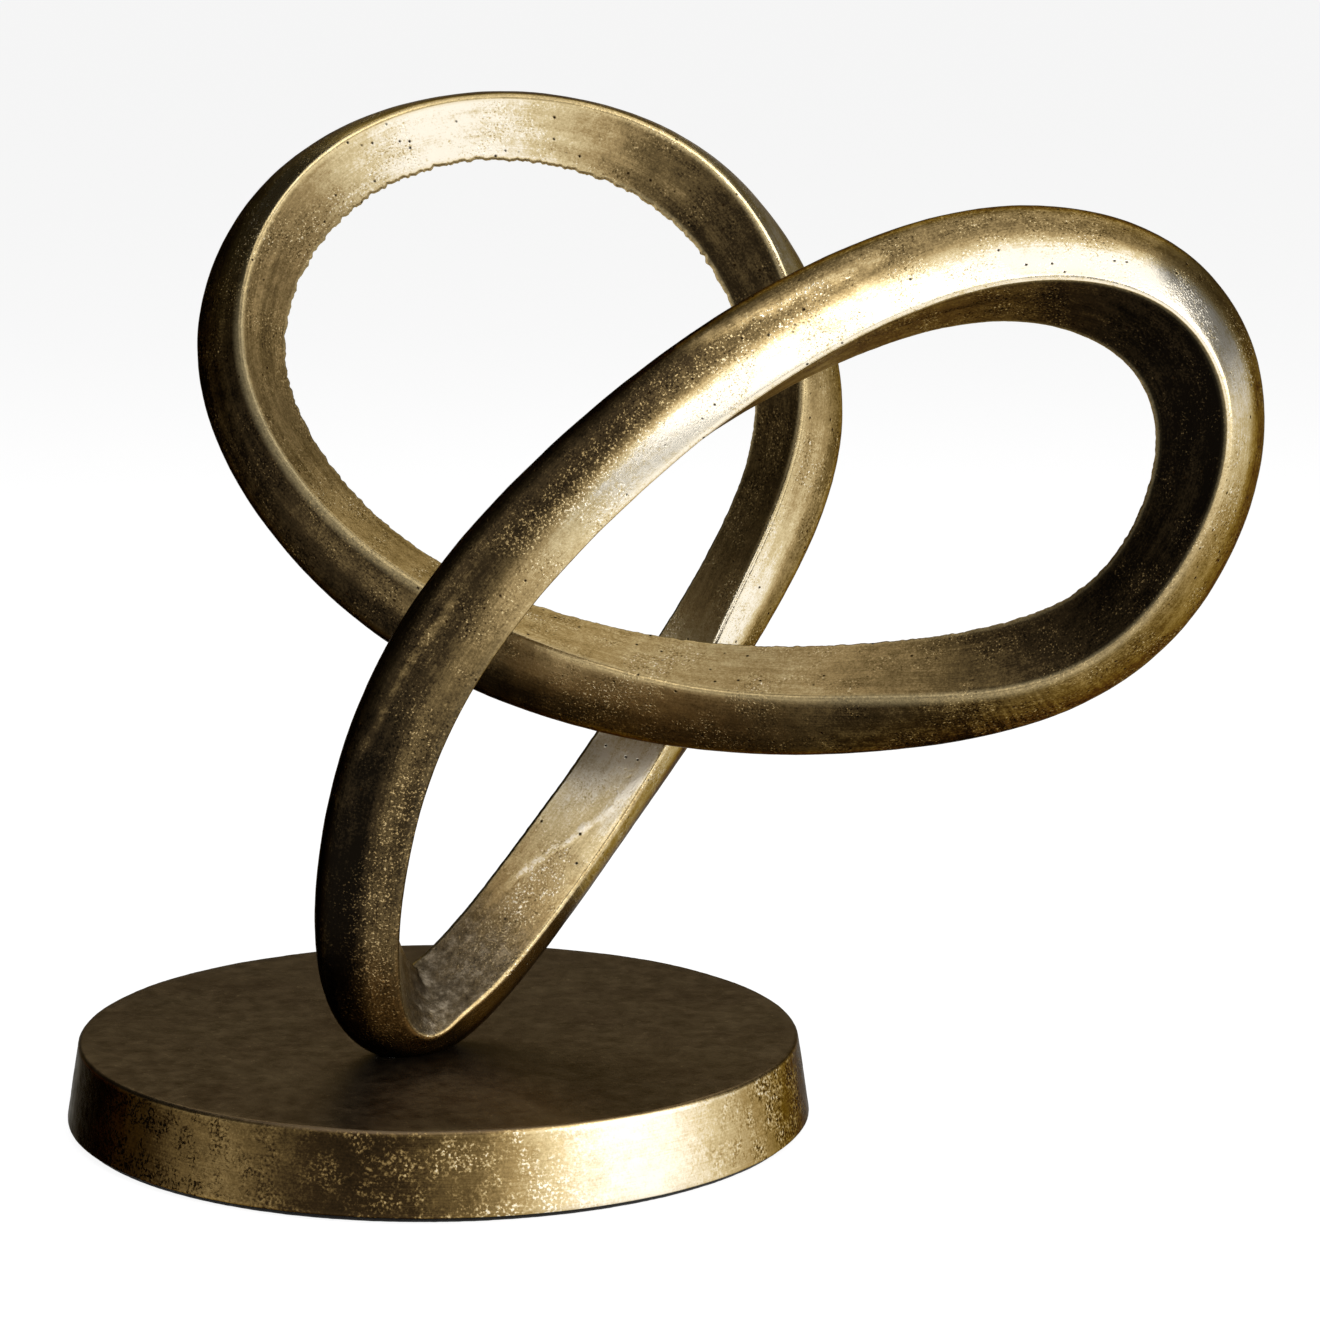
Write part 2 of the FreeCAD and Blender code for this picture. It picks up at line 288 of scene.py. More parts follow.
@dataclass(frozen=True)
class AntiqueBrassCasting(PlatedBrass):
    """Sand-cast aluminium, brass-plated, darkened and rubbed back by hand.

    The sand leaves a fine pitted grain, the wheel long soft marks, and the rubbing takes the dark
    patina off edges. Light and shade are painted into the same tone: lit and upper sides lighter, undersides
    and shaded sides darker, with painted highlight lines, so the metal runs from near black to a pale worn gold.
    """

    name: str = "antique_brass_sand_cast"
    seed: float = 3.0
    edge_tint: str = "#8C8270"
    stops: Stops = (
        (0.0, "#120E09"), (0.22, "#392E1D"), (0.42, "#6F5D3C"), (0.62, "#A99164"), (0.82, "#D7C497"), (1.0, "#FBF2DF"),
    )
    patterns: tuple[tuple[str, float | tuple[float, float], float, float], ...] = (
        ("clouds", 16.0, 4.0, 0.55), ("blotches", 4.0, 3.0, 0.55), ("grain", 0.55, 2.0, 0.70),
        ("brush", (14.0, 0.45), 3.0, 0.55), ("streaks", (80.0, 5.0), 2.0, 0.55), ("speckle", 0.6, 1.0, 0.55),
        ("sand", 11.0, 2.0, 0.55), ("filing", (1.2, 9.0), 2.0, 0.55), ("coarse", 2.2, 5.0, 0.70),
    )
    swings: Shares = (("clouds", 0.22), ("blotches", 0.20), ("grain", 0.45), ("brush", 0.24), ("streaks", 0.40))
    gains: Shares = (("specks", 0.36), ("dents", -0.24), ("file_marks", 0.45), ("scratches_and_highlights", 1.0))
    relief: Shares = (
        ("grain", 0.030), ("blotches", 0.04), ("brush", 0.010), ("specks", 0.06), ("dents", -0.04), ("pit", -0.12),
        ("file_marks", 0.10), ("scratches_and_highlights", 0.15), ("bare_grain", 0.35),
    )
    # Where a pattern begins to show and shows in full, and the least and most that it then gives
    bands: tuple[tuple[str, str, tuple[float, ...]], ...] = (
        ("dense_patches", "blotches", (0.30, 0.50, 0.4, 1.0)), ("sand_patches", "sand", (0.42, 0.60)),
        ("worked_patches", "blotches", (0.35, 0.60, 0.5, 1.0)), ("worn_patches", "grain", (0.3, 0.7, 0.35, 0.75)),
        ("ragged_patches", "blotches", (0.30, 0.62, 0.45, 1.0)),
    )
    speck_band: tuple[float, float] = (0.60, 0.70)
    dent_band: tuple[float, float] = (0.42, 0.32)
    pit_band: tuple[float, float] = (0.16, 0.07)
    pit_mm: float = 3.2
    pit_chance: float = 0.62
    pit_colour: str = "#2A1E10"
    worn_colour: str = "#E6D09C"
    tone_band: tuple[float, float] = (0.2, 0.9)
    dull: float = 0.37
    bright: float = 0.22
    flat_dulling: float = 0.14
    flat_filing: float = 0.8
    wander_mm: float = 3.0
    wander_reach: float = 1.5 * MM
    # Scratches, and painted highlight lines along the strut, the leg and the arm, in mm: both ends, half width, and
    # how far each brightens the tone
    marks: tuple[Line, ...] = (
        ((-44.0, 10.3, 234.1), (-41.5, 13.0, 230.5), 0.40, 0.34),
        ((-1.1, -29.6, 38.8), (0.1, -32.4, 35.7), 0.40, 0.40),
        ((54.3, -0.3, 93.4), (44.2, -3.4, 83.7), 2.0, 0.16),
        ((44.2, -3.4, 83.7), (21.4, -8.0, 68.3), 1.9, 0.27),
        ((21.4, -8.0, 68.3), (9.0, -13.5, 56.5), 1.8, 0.18),
        ((8.0, -55.4, 150.0), (-3.2, -55.8, 134.5), 2.4, 0.28),
        ((-3.2, -55.8, 134.5), (-15.3, -54.3, 111.2), 2.2, 0.22),
        ((66.0, -43.5, 214.0), (85.4, -46.6, 222.2), 3.5, 0.30),
        ((85.4, -46.6, 222.2), (114.0, -46.4, 236.0), 3.8, 0.30),
        ((122.3, -39.0, 117.8), (136.8, -36.8, 114.8), 0.35, 0.30),
    )
    # Stretches where the sand's grain shows densest: both ends and half width in mm, and strength
    grained: tuple[Line, ...] = (
        ((-3.0, -55.0, 101.0), (-13.0, -53.0, 76.5), 9.0, 1.0),
        ((-13.0, -53.0, 76.5), (-15.5, -50.9, 60.2), 9.0, 1.0),
        ((-15.5, -50.9, 60.2), (-12.0, -40.0, 34.0), 9.0, 1.0),
        ((24.0, -54.0, 165.0), (62.0, -49.0, 204.0), 7.0, 1.0),
        ((62.0, -49.0, 204.0), (99.0, -47.5, 226.0), 6.0, 1.0),
        ((9.6, -20.0, 47.2), (28.9, -10.5, 66.7), 8.0, 1.0),
    )
    grained_core: float = 0.4
    grained_lift: float = 0.05
    # Where the flat was left rough in the bottom of the V, in the same terms, and its greys
    bare: tuple[Line, ...] = (((-3.0, -32.0, 37.0), (5.0, -20.0, 48.0), 30.0, 0.9),)
    bare_core: float = 2.0 / 30.0
    bare_stops: Stops = ((0.28, "#2E281F"), (0.50, "#665C4C"), (0.74, "#B0A48F"))

    def material(self) -> bpy.types.Material:
        """Builds the finish for the strand, which carries its skin, its rub with painted light and shade, and its
        ridge values.
        """
        made, put, laid = self.start("rubbed ridge filed sandy inner")
        at, flat = laid["at"], laid["inner"]
        for label, source, band in self.bands:
            laid[label] = put(RANGE, (laid[source], *band))

        dense = show_lines(put, at, self.grained, self.grained_core)
        dense = put(MATH, (dense, laid["dense_patches"]), operation="MULTIPLY")
        speckle = put(MATH, (dense, self.grained_lift, laid["speckle"]), operation="MULTIPLY_ADD")
        sandy = put(MATH, (laid["sand_patches"], laid["sandy"]), operation="MULTIPLY")
        sandy = put(MATH, (sandy, dense), operation="MAXIMUM")
        for label, band in (("specks", self.speck_band), ("dents", self.dent_band)):
            laid[label] = put(MATH, (put(RANGE, (speckle, *band)), sandy), operation="MULTIPLY")
        pits = put("ShaderNodeTexVoronoi", {"Vector": at, "Scale": per_mm(self.pit_mm), "Randomness": 1.0})
        chosen = put("ShaderNodeSeparateColor", (pits.outputs["Color"],))
        chosen = put(MATH, (chosen, self.pit_chance), operation="GREATER_THAN")
        pit = put(RANGE, (pits.outputs["Distance"], *self.pit_band))
        laid["pit"] = put(MATH, (pit, chosen), operation="MULTIPLY")
        off_flat = put(MATH, (flat, -self.flat_filing, 1.0), operation="MULTIPLY_ADD")
        filing = put(MATH, (laid["filing"], 0.5), operation="SUBTRACT")
        filing = put(MATH, (filing, laid["filed"]), operation="MULTIPLY")
        laid["file_marks"] = put(MATH, (filing, off_flat), operation="MULTIPLY")

        # The place drifts by about half a millimetre either way, so that no line is ruled
        drift = put(NOISE, {"Vector": at, "Scale": per_mm(self.wander_mm), "Detail": 2.0}).outputs["Color"]
        drifted = put(VECTOR, (drift, (self.wander_reach,) * 3, at), operation="MULTIPLY_ADD")
        # Scratches, and painted highlight lines along the strut, the leg and the arm
        scratches_and_highlights = show_lines(put, drifted, self.marks)
        laid["scratches_and_highlights"] = put(MATH, (scratches_and_highlights, laid["worked_patches"]), operation="MULTIPLY")
        bare = show_lines(put, at, self.bare, self.bare_core)
        off_scratches_and_highlights = put(MATH, (1.0, laid["scratches_and_highlights"]), operation="SUBTRACT")
        for share in (flat, laid["ragged_patches"], off_scratches_and_highlights):
            bare = put(MATH, (bare, share), operation="MULTIPLY")
        laid["bare_grain"] = put(MATH, (bare, laid["coarse"]), operation="MULTIPLY")

        tone = self.tone(put, laid)
        worn = put(MATH, (laid["ridge"], laid["worn_patches"]), operation="MULTIPLY")
        greys = set_ramp(put(RAMP, (laid["coarse"],)), self.bare_stops)
        colour = set_ramp(put(RAMP, (tone,)), self.stops)
        for share, over in (
            (worn, linear(self.worn_colour)), (laid["pit"], linear(self.pit_colour)), (bare, greys),
        ):
            colour = put(MIX, {"Factor": share, "A": colour, "B": over}, data_type="RGBA")
        rough = put(RANGE, (tone, *self.tone_band, self.dull, self.bright))
        rough = put(MATH, (flat, self.flat_dulling, rough), operation="MULTIPLY_ADD")
        return self.end(made, put, laid, colour, rough)


@dataclass(frozen=True)
class BaseBrass(PlatedBrass):
    """Turned and cast aluminium base, plated, its top patinated a satin dark brown, with painted highlights and shade
    round its side.
    """

    name: str = "antique_brass_turned_base"
    seed: float = 8.0
    edge_tint: str = "#9C968A"
    stops: Stops = (
        (0.0, "#15100A"), (0.22, "#3A2C19"), (0.42, "#6F5A35"), (0.62, "#A58B5A"), (0.82, "#D4BF90"), (1.0, "#F8EED8"),
    )
    patterns: tuple[tuple[str, float | tuple[float, float], float, float], ...] = (
        ("clouds", 22.0, 4.0, 0.55), ("blotches", 5.0, 4.0, 0.65), ("grain", 0.6, 2.0, 0.70),
        ("turned", (30.0, 0.35), 3.0, 0.55), ("pitting", 0.75, 2.0, 0.55), ("patches", 7.0, 3.0, 0.55),
        ("dots", 0.9, 1.0, 0.55),
    )
    swings: Shares = (("clouds", 0.25), ("blotches", 0.20), ("grain", 0.35), ("turned", 0.22))
    gains: Shares = (("hollows", -0.55), ("grains", 0.60))
    relief: Shares = (
        ("grain", 0.03), ("blotches", 0.03), ("turned", 0.012), ("hollows", -0.10), ("grains", 0.06),
    )
    hollow_band: tuple[float, float] = (0.50, 0.34)
    grain_band: tuple[float, float] = (0.50, 0.66)
    patch_band: tuple[float, float] = (0.40, 0.60)
    rough_band: tuple[float, ...] = (0.3, 0.7, 0.29, 0.40)
    top_colours: tuple[str, str] = ("#6D5B48", "#867459")
    mottle: Shares = (("clouds", 1.2), ("blotches", 0.8))
    mottle_band: tuple[float, float] = (0.55, 1.45)
    dot_band: tuple[float, ...] = (0.68, 0.76, 0.0, 0.45)
    dot_colour: str = "#C9B184"

    def material(self) -> bpy.types.Material:
        """Builds the finish for the base, which carries its side and pitted values."""
        made, put, laid = self.start("rubbed side")
        side = laid["side"]
        reaches = put(APART, (put(ATTRIBUTE, attribute_name="pitted").outputs["Vector"],)).outputs
        patches = put(RANGE, (laid["patches"], *self.patch_band))
        for label, reach, band in (("hollows", reaches[0], self.hollow_band), ("grains", reaches[1], self.grain_band)):
            laid[label] = put(RANGE, (laid["pitting"], *band))
            for share in (patches, reach, side):
                laid[label] = put(MATH, (laid[label], share), operation="MULTIPLY")
        # The side's tone carries painted highlights and shade, through the rub
        sides = set_ramp(put(RAMP, (self.tone(put, laid),)), self.stops)
        mottle = put(RANGE, (total(put, 0.0, laid, self.mottle), *self.mottle_band))
        dots = put(RANGE, (laid["dots"], *self.dot_band))
        colour = linear(self.top_colours[0])
        for share, over in (
            (mottle, linear(self.top_colours[1])), (dots, linear(self.dot_colour)), (side, sides),
        ):
            colour = put(MIX, {"Factor": share, "A": colour, "B": over}, data_type="RGBA")
        return self.end(made, put, laid, colour, put(RANGE, (laid["blotches"], *self.rough_band)))


@dataclass(frozen=True)
class BlackFelt:
    """Pressed wool felt, dyed black: a matt tangle of fibres with a soft sheen at its edge."""

    name: str = "black_wool_felt"
    dark: str = "#0B0B0B"
    light: str = "#2A2927"
    fibre_mm: float = 0.35
    tangle: float = 1.5
    nap: float = 0.2 * MM

    def material(self) -> bpy.types.Material:
        """Builds the felt's finish on object coordinates."""
        made, put, at = start_finish(self.name)
        fibres = put(NOISE, {
            "Vector": at, "Scale": per_mm(self.fibre_mm), "Detail": 3.0, "Distortion": self.tangle,
        })
        colour = put(MIX, {"Factor": fibres, "A": linear(self.dark), "B": linear(self.light)}, data_type="RGBA")
        bump = put("ShaderNodeBump", {"Strength": 0.8, "Distance": self.nap, "Height": fibres})
        return end_finish(made, {"Base Color": colour, "Normal": bump, "Roughness": 0.95, "Sheen Weight": 0.3})


@dataclass(frozen=True)
class ZincSteel:
    """Rolled and turned steel, zinc-plated: a cool grey with a faint milky bloom."""

    name: str = "zinc_plated_steel"
    grey: str = "#9C9D98"
    bloom: str = "#C4C4BC"
    bloom_mm: float = 2.5
    turning_mm: float = 0.25
    turning_length_mm: float = 25.0
    turning_depth: float = 0.05 * MM
    rough_band: tuple[float, ...] = (0.3, 0.7, 0.3, 0.45)

    def material(self) -> bpy.types.Material:
        """Builds the fasteners' finish on object coordinates."""
        made, put, at = start_finish(self.name)
        bloom = put(NOISE, {"Vector": at, "Scale": per_mm(self.bloom_mm), "Detail": 3.0})
        length = per_mm(self.turning_length_mm)
        level = put("ShaderNodeMapping", {"Vector": at, "Scale": (length, length, per_mm(self.turning_mm))})
        turning = put(NOISE, {"Vector": level, "Scale": 1.0, "Detail": 2.0})
        colour = put(MIX, {"Factor": bloom, "A": linear(self.grey), "B": linear(self.bloom)}, data_type="RGBA")
        bump = put("ShaderNodeBump", {"Strength": 0.4, "Distance": self.turning_depth, "Height": turning})
        return end_finish(made, {
            "Base Color": colour, "Roughness": put(RANGE, (bloom, *self.rough_band)), "Normal": bump, "Metallic": 1.0,
        })


# Shapes that follow a rule


@dataclass(frozen=True)
class ClosedCourse:
    """Closed curve of even curvature through stations at even steps of its parameter."""

    stations: np.ndarray

    def value(self, shares: np.ndarray, slope: bool = False) -> np.ndarray:
        """Evaluates the curve.

        Args:
            shares: Shares of the way round.
            slope: Whether the change by share is wanted and not the value.

        Returns:
            One row of values for each share.
        """
        count = len(self.stations)
        settle = np.eye(count) * 4 + np.roll(np.eye(count), 1, 0) + np.roll(np.eye(count), -1, 0)
        poles = np.linalg.solve(settle / 6, self.stations)
        reached = (shares % 1.0) * count
        first = np.floor(reached).astype(int)
        part = reached - first
        if slope:
            weights = (
                -((1 - part) ** 2) / 2, (3 * part**2 - 4 * part) / 2,
                (-3 * part**2 + 2 * part + 1) / 2, part**2 / 2,
            )
            weights = [weight * count for weight in weights]
        else:
            weights = (
                (1 - part) ** 3 / 6, (3 * part**3 - 6 * part**2 + 4) / 6,
                (-3 * part**3 + 3 * part**2 + 3 * part + 1) / 6, part**3 / 6,
            )
        return sum(
            weight[:, None] * poles[(first + step - 1) % count] for step, weight in enumerate(weights)
        )


def stand(name: str, data: bpy.types.ID) -> bpy.types.Object:
    """Puts a new object in the scene."""
    made = bpy.data.objects.new(name, data)
    bpy.context.scene.collection.objects.link(made)
    return made


def points_mesh(name: str, values: dict[str, np.ndarray]) -> bpy.types.Mesh:
    """Makes a mesh of loose points that carry named values, as a table for a node tree to read.

    Args:
        name: Name of the mesh.
        values: Number or vector of each point, by name.

    Returns:
        The mesh.
    """
    mesh = bpy.data.meshes.new(name)
    mesh.vertices.add(len(next(iter(values.values()))))
    for label, rows in values.items():
        rows = np.asarray(rows, dtype=np.float32)
        kind, key = ("FLOAT_VECTOR", "vector") if rows.ndim == 2 else ("FLOAT", "value")
        mesh.attributes.new(label, kind, "POINT").data.foreach_set(key, rows.ravel())
    return mesh


def plain_mesh(holder: bpy.types.Object, name: str) -> bpy.types.Object:
    """Turns an object's evaluated node trees and modifiers into a plain mesh object.

    Args:
        holder: Object with the modifiers, which is removed.
        name: Name of the new object.

    Returns:
        The new object, at the origin and linked to the scene.
    """
    bpy.context.view_layer.update()
    graph = bpy.context.evaluated_depsgraph_get()
    mesh = bpy.data.meshes.new_from_object(holder.evaluated_get(graph))
    mesh.name = name
    finish = next(made for made in mesh.materials if made)
    mesh.materials.clear()
    mesh.materials.append(finish)
    mesh.polygons.foreach_set("material_index", np.zeros(len(mesh.polygons), dtype=np.int32))
    bpy.data.objects.remove(holder)
    return stand(name, mesh)


class GridTree:
    """Node tree that lays a grid of points by two tables and closes it into a dressed skin.

    The tree's own mesh is the table of the rows, and the object named Columns holds that of the columns.
    """

    NAME = ""
    EACH = 1
    INPUTS: tuple[tuple[str, str], ...] = ()
    SHARED = (
        ("Geometry", "Geometry"), ("Columns", "Object"), ("Ground Waves", "Float"), ("Wave Size", "Float"),
        ("Casting Skin", "Float"), ("Skin Size", "Float"), ("Seed", "Float"), ("Finish", "Material"),
    )
    MERGED = 0.002 * MM
    SHARP = 0.99

    def __init__(self) -> None:
        """Builds the tree."""
        self.tree = bpy.data.node_groups.new(self.NAME, "GeometryNodeTree")
        self.put = put = partial(add, self.tree)
        face = self.tree.interface
        self.ports = {
            name: face.new_socket(name, in_out="INPUT", socket_type="NodeSocket" + kind).identifier
            for name, kind in self.SHARED + self.INPUTS
        }
        face.new_socket("Geometry", in_out="OUTPUT", socket_type="NodeSocketGeometry")
        self.given = put("NodeGroupInput").outputs
        self.down = self.given["Geometry"]
        self.across = put("GeometryNodeObjectInfo", {"Object": self.given["Columns"]}).outputs["Geometry"]
        points, columns = (
            put("GeometryNodeAttributeDomainSize", (table,)).outputs["Point Count"]
            for table in (self.down, self.across)
        )
        rows = put(WHOLE, (points, self.EACH), operation="DIVIDE_FLOOR")
        self.grid = put("GeometryNodeMeshGrid", {"Vertices X": rows, "Vertices Y": columns})
        index = put("GeometryNodeInputIndex")
        self.row, self.column = (
            put(WHOLE, (index, columns), operation=way) for way in ("DIVIDE_FLOOR", "MODULO")
        )
        self.lay()

    def lay(self) -> None:
        """Lays out the part of the tree that places the points."""
        raise NotImplementedError

    def read(self, table: Source, index: Source, numbers: str, vectors: str) -> dict[str, bpy.types.Node]:
        """Adds the nodes that read a table's values at an index.

        Args:
            table: Mesh that carries the values.
            index: Point that is read.
            numbers: Names of the numbers.
            vectors: Names of the vectors.

        Returns:
            The values by name.
        """
        values = {}
        for kind, labels in (("FLOAT", numbers), ("FLOAT_VECTOR", vectors)):
            for label in labels.split():
                value = self.put(NAMED, (label,), data_type=kind)
                values[label] = self.put("GeometryNodeSampleIndex", {
                    "Geometry": table, "Value": value, "Index": index,
                }, data_type=kind)
        return values

    def waver(self, where: Source, size: str, depth: str, detail: float) -> bpy.types.Node:
        """Adds the nodes of a noise that goes half of a depth either way.

        Args:
            where: Place that it is read at.
            size: Name of the input with the size of its features.
            depth: Name of the input with its whole depth.
            detail: Detail of the noise.

        Returns:
            The height.
        """
        put, given = self.put, self.given
        scale = put(MATH, (1.0, given[size]), operation="DIVIDE")
        noise = put(NOISE, {
            "Vector": where, "Scale": scale, "W": given["Seed"], "Detail": detail,
        }, noise_dimensions="4D")
        centred = put(MATH, (noise, 0.5), operation="SUBTRACT")
        return put(MATH, (centred, given[depth]), operation="MULTIPLY")

    def cast_skin(self, where: Source) -> bpy.types.Node:
        """Adds the ground waves and the casting skin at a place."""
        waves = self.waver(where, "Wave Size", "Ground Waves", 1.0)
        return self.put(MATH, (waves, self.waver(where, "Skin Size", "Casting Skin", 2.0)), operation="ADD")

    def close(self, position: Source, numbers: dict[str, Source], vectors: dict[str, Source]) -> None:
        """Stores the grid's values, moves its points, and closes and dresses its mesh.

        Args:
            position: Where each point goes.
            numbers: Numbers that the mesh keeps, by name. Edges with a rim of one stay sharp.
            vectors: Vectors that it keeps. The one named spot becomes the skin, held by face corner.
        """
        put, body = self.put, self.grid
        for kind, values in (("FLOAT", numbers), ("FLOAT_VECTOR", vectors)):
            for label, value in values.items():
                body = put(STORE, {"Geometry": body, "Name": label, "Value": value}, data_type=kind, domain="POINT")
        body = put("GeometryNodeSetPosition", {"Geometry": body, "Position": position})
        spot = put(NAMED, ("spot",), data_type="FLOAT_VECTOR")
        body = put(STORE, {
            "Geometry": body, "Name": "skin", "Value": spot,
        }, data_type="FLOAT_VECTOR", domain="CORNER")
        body = put("GeometryNodeRemoveAttribute", {"Geometry": body, "Name": "spot"})
        body = put("GeometryNodeMergeByDistance", {"Geometry": body, "Distance": self.MERGED})
        if "rim" in numbers:
            body = put("GeometryNodeFlipFaces", {"Mesh": body})
        body = put("GeometryNodeSetShadeSmooth", {"Geometry": body, "Shade Smooth": True})
        if "rim" in numbers:
            rim = put(NAMED, ("rim",), data_type="FLOAT")
            sharp = put("FunctionNodeCompare", (rim, self.SHARP), operation="GREATER_THAN")
            body = put("GeometryNodeSetShadeSmooth", {
                "Geometry": body, "Selection": sharp, "Shade Smooth": False,
            }, domain="EDGE")
        body = put("GeometryNodeRealizeInstances", {"Geometry": body})
        body = put("GeometryNodeSetMaterial", {"Geometry": body, "Material": self.given["Finish"]})
        put("NodeGroupOutput", (body,))

    def dress(self, table: bpy.types.Mesh, name: str, values: dict[str, object],
              tool: bpy.types.Object | None = None) -> bpy.types.Object:
        """Runs the tree on the table of a piece's rows.

        Args:
            table: Points that carry the values of the rows.
            name: Name of the piece.
            values: Values of the tree's inputs by name.
            tool: Closed object that is cut away.

        Returns:
            The piece as a plain mesh.
        """
        holder = stand(name + "_rows", table)
        modifier = holder.modifiers.new("grid", "NODES")
        modifier.node_group = self.tree
        for label, value in values.items():
            modifier[self.ports[label]] = value
        if tool is not None:
            cut = holder.modifiers.new("drill", "BOOLEAN")
            cut.operation, cut.solver, cut.object = "DIFFERENCE", "EXACT", tool
        return plain_mesh(holder, name)


class SweepTree(GridTree):
    """Node tree that sweeps the strand's outline over its rows and works its cast skin into it."""

    NAME = "strand_sweep"
    EACH = len(Zone)
    INPUTS = (
        ("Seat Height", "Float"), ("Ragged Edge", "Float"), ("Rag Size", "Float"),
        ("Nub Place", "Vector"), ("Nub Height", "Float"), ("Nub Size", "Float"),
    )
    BESIDE = 10 * MM
    BELOW_ALL = -1.0

    def lay(self) -> None:
        """Lays out the arcs of the outline, the cast skin, the ragged far edge and the seat."""
        put, given = self.put, self.given
        outline = self.read(self.across, self.column, "zone step reach sign girth ridge inner sandy", "lean")
        place = put(WHOLE, (self.row, self.EACH), operation="MULTIPLY")
        place = put(WHOLE, (place, outline["zone"]), operation="ADD")
        row = self.read(self.down, place, "run worked filed rim flat_rub", "arc turns origin side rear rub rag")
        arc, turns, rag = (put(APART, (row[label],)).outputs for label in ("arc", "turns", "rag"))
        sign, side, rear, worked = outline["sign"], row["side"], row["rear"], row["worked"]

        swept = put(MATH, (turns[1], turns[0]), operation="SUBTRACT")
        angle = put(MATH, (swept, outline["step"], turns[0]), operation="MULTIPLY_ADD")
        cosine, sine = (put(MATH, (angle,), operation=way) for way in ("COSINE", "SINE"))
        aside = put(MATH, (arc[2], cosine), operation="MULTIPLY")
        aside = put(MATH, (arc[0], outline["reach"], aside), operation="MULTIPLY_ADD")
        aside = put(MATH, (aside, sign), operation="MULTIPLY")
        back = put(MATH, (arc[2], sine, arc[1]), operation="MULTIPLY_ADD")
        position = put(VECTOR, (side, aside, row["origin"]), operation="MULTIPLY_ADD")
        position = put(VECTOR, (rear, back, position), operation="MULTIPLY_ADD")
        facing = put(MATH, (cosine, sign), operation="MULTIPLY")
        outward = put(VECTOR, (rear, sine), operation="MULTIPLY")
        outward = put(VECTOR, (side, facing, outward), operation="MULTIPLY_ADD")

        nub = put(VECTOR, (position, given["Nub Place"]), operation="DISTANCE")
        nub = put(MATH, (nub, given["Nub Size"]), operation="DIVIDE")
        nub = put(MATH, (nub, nub), operation="MULTIPLY")
        nub = put(MATH, (put(MATH, (nub, -1.0), operation="MULTIPLY"),), operation="EXPONENT")
        height = put(MATH, (nub, given["Nub Height"], self.cast_skin(position)), operation="MULTIPLY_ADD")
        height = put(MATH, (height, worked), operation="MULTIPLY")
        beside = put(MATH, (sign, self.BESIDE), operation="MULTIPLY")
        beside = put(VECTOR, (side, beside, row["origin"]), operation="MULTIPLY_ADD")
        far = put(MATH, (sign, 0.0), operation="MINIMUM")
        wander = self.waver(beside, "Rag Size", "Ragged Edge", 2.0)
        for share in (rag[0], outline["ridge"], worked, far):
            wander = put(MATH, (wander, share), operation="MULTIPLY")
        position = put(VECTOR, (outward, height, position), operation="MULTIPLY_ADD")
        position = put(VECTOR, (side, wander, position), operation="MULTIPLY_ADD")
        seat = put(JOINED, (self.BELOW_ALL, self.BELOW_ALL, given["Seat Height"]))
        seated = put(VECTOR, (position, seat), operation="MAXIMUM")

        # Rub of each band round the outline, from the stations' shares with their painted light and shade
        rubbed = put(VECTOR, (row["rub"], outline["lean"]), operation="DOT_PRODUCT")
        self.close(seated, {
            "ridge": put(MATH, (outline["ridge"], rag[1]), operation="MULTIPLY"),
            "rubbed": put(MATH, (row["flat_rub"], outline["inner"], rubbed), operation="MULTIPLY_ADD"),
            "inner": outline["inner"], "sandy": outline["sandy"], "filed": row["filed"], "rim": row["rim"],
        }, {"spot": put(JOINED, (row["run"], outline["girth"]))})


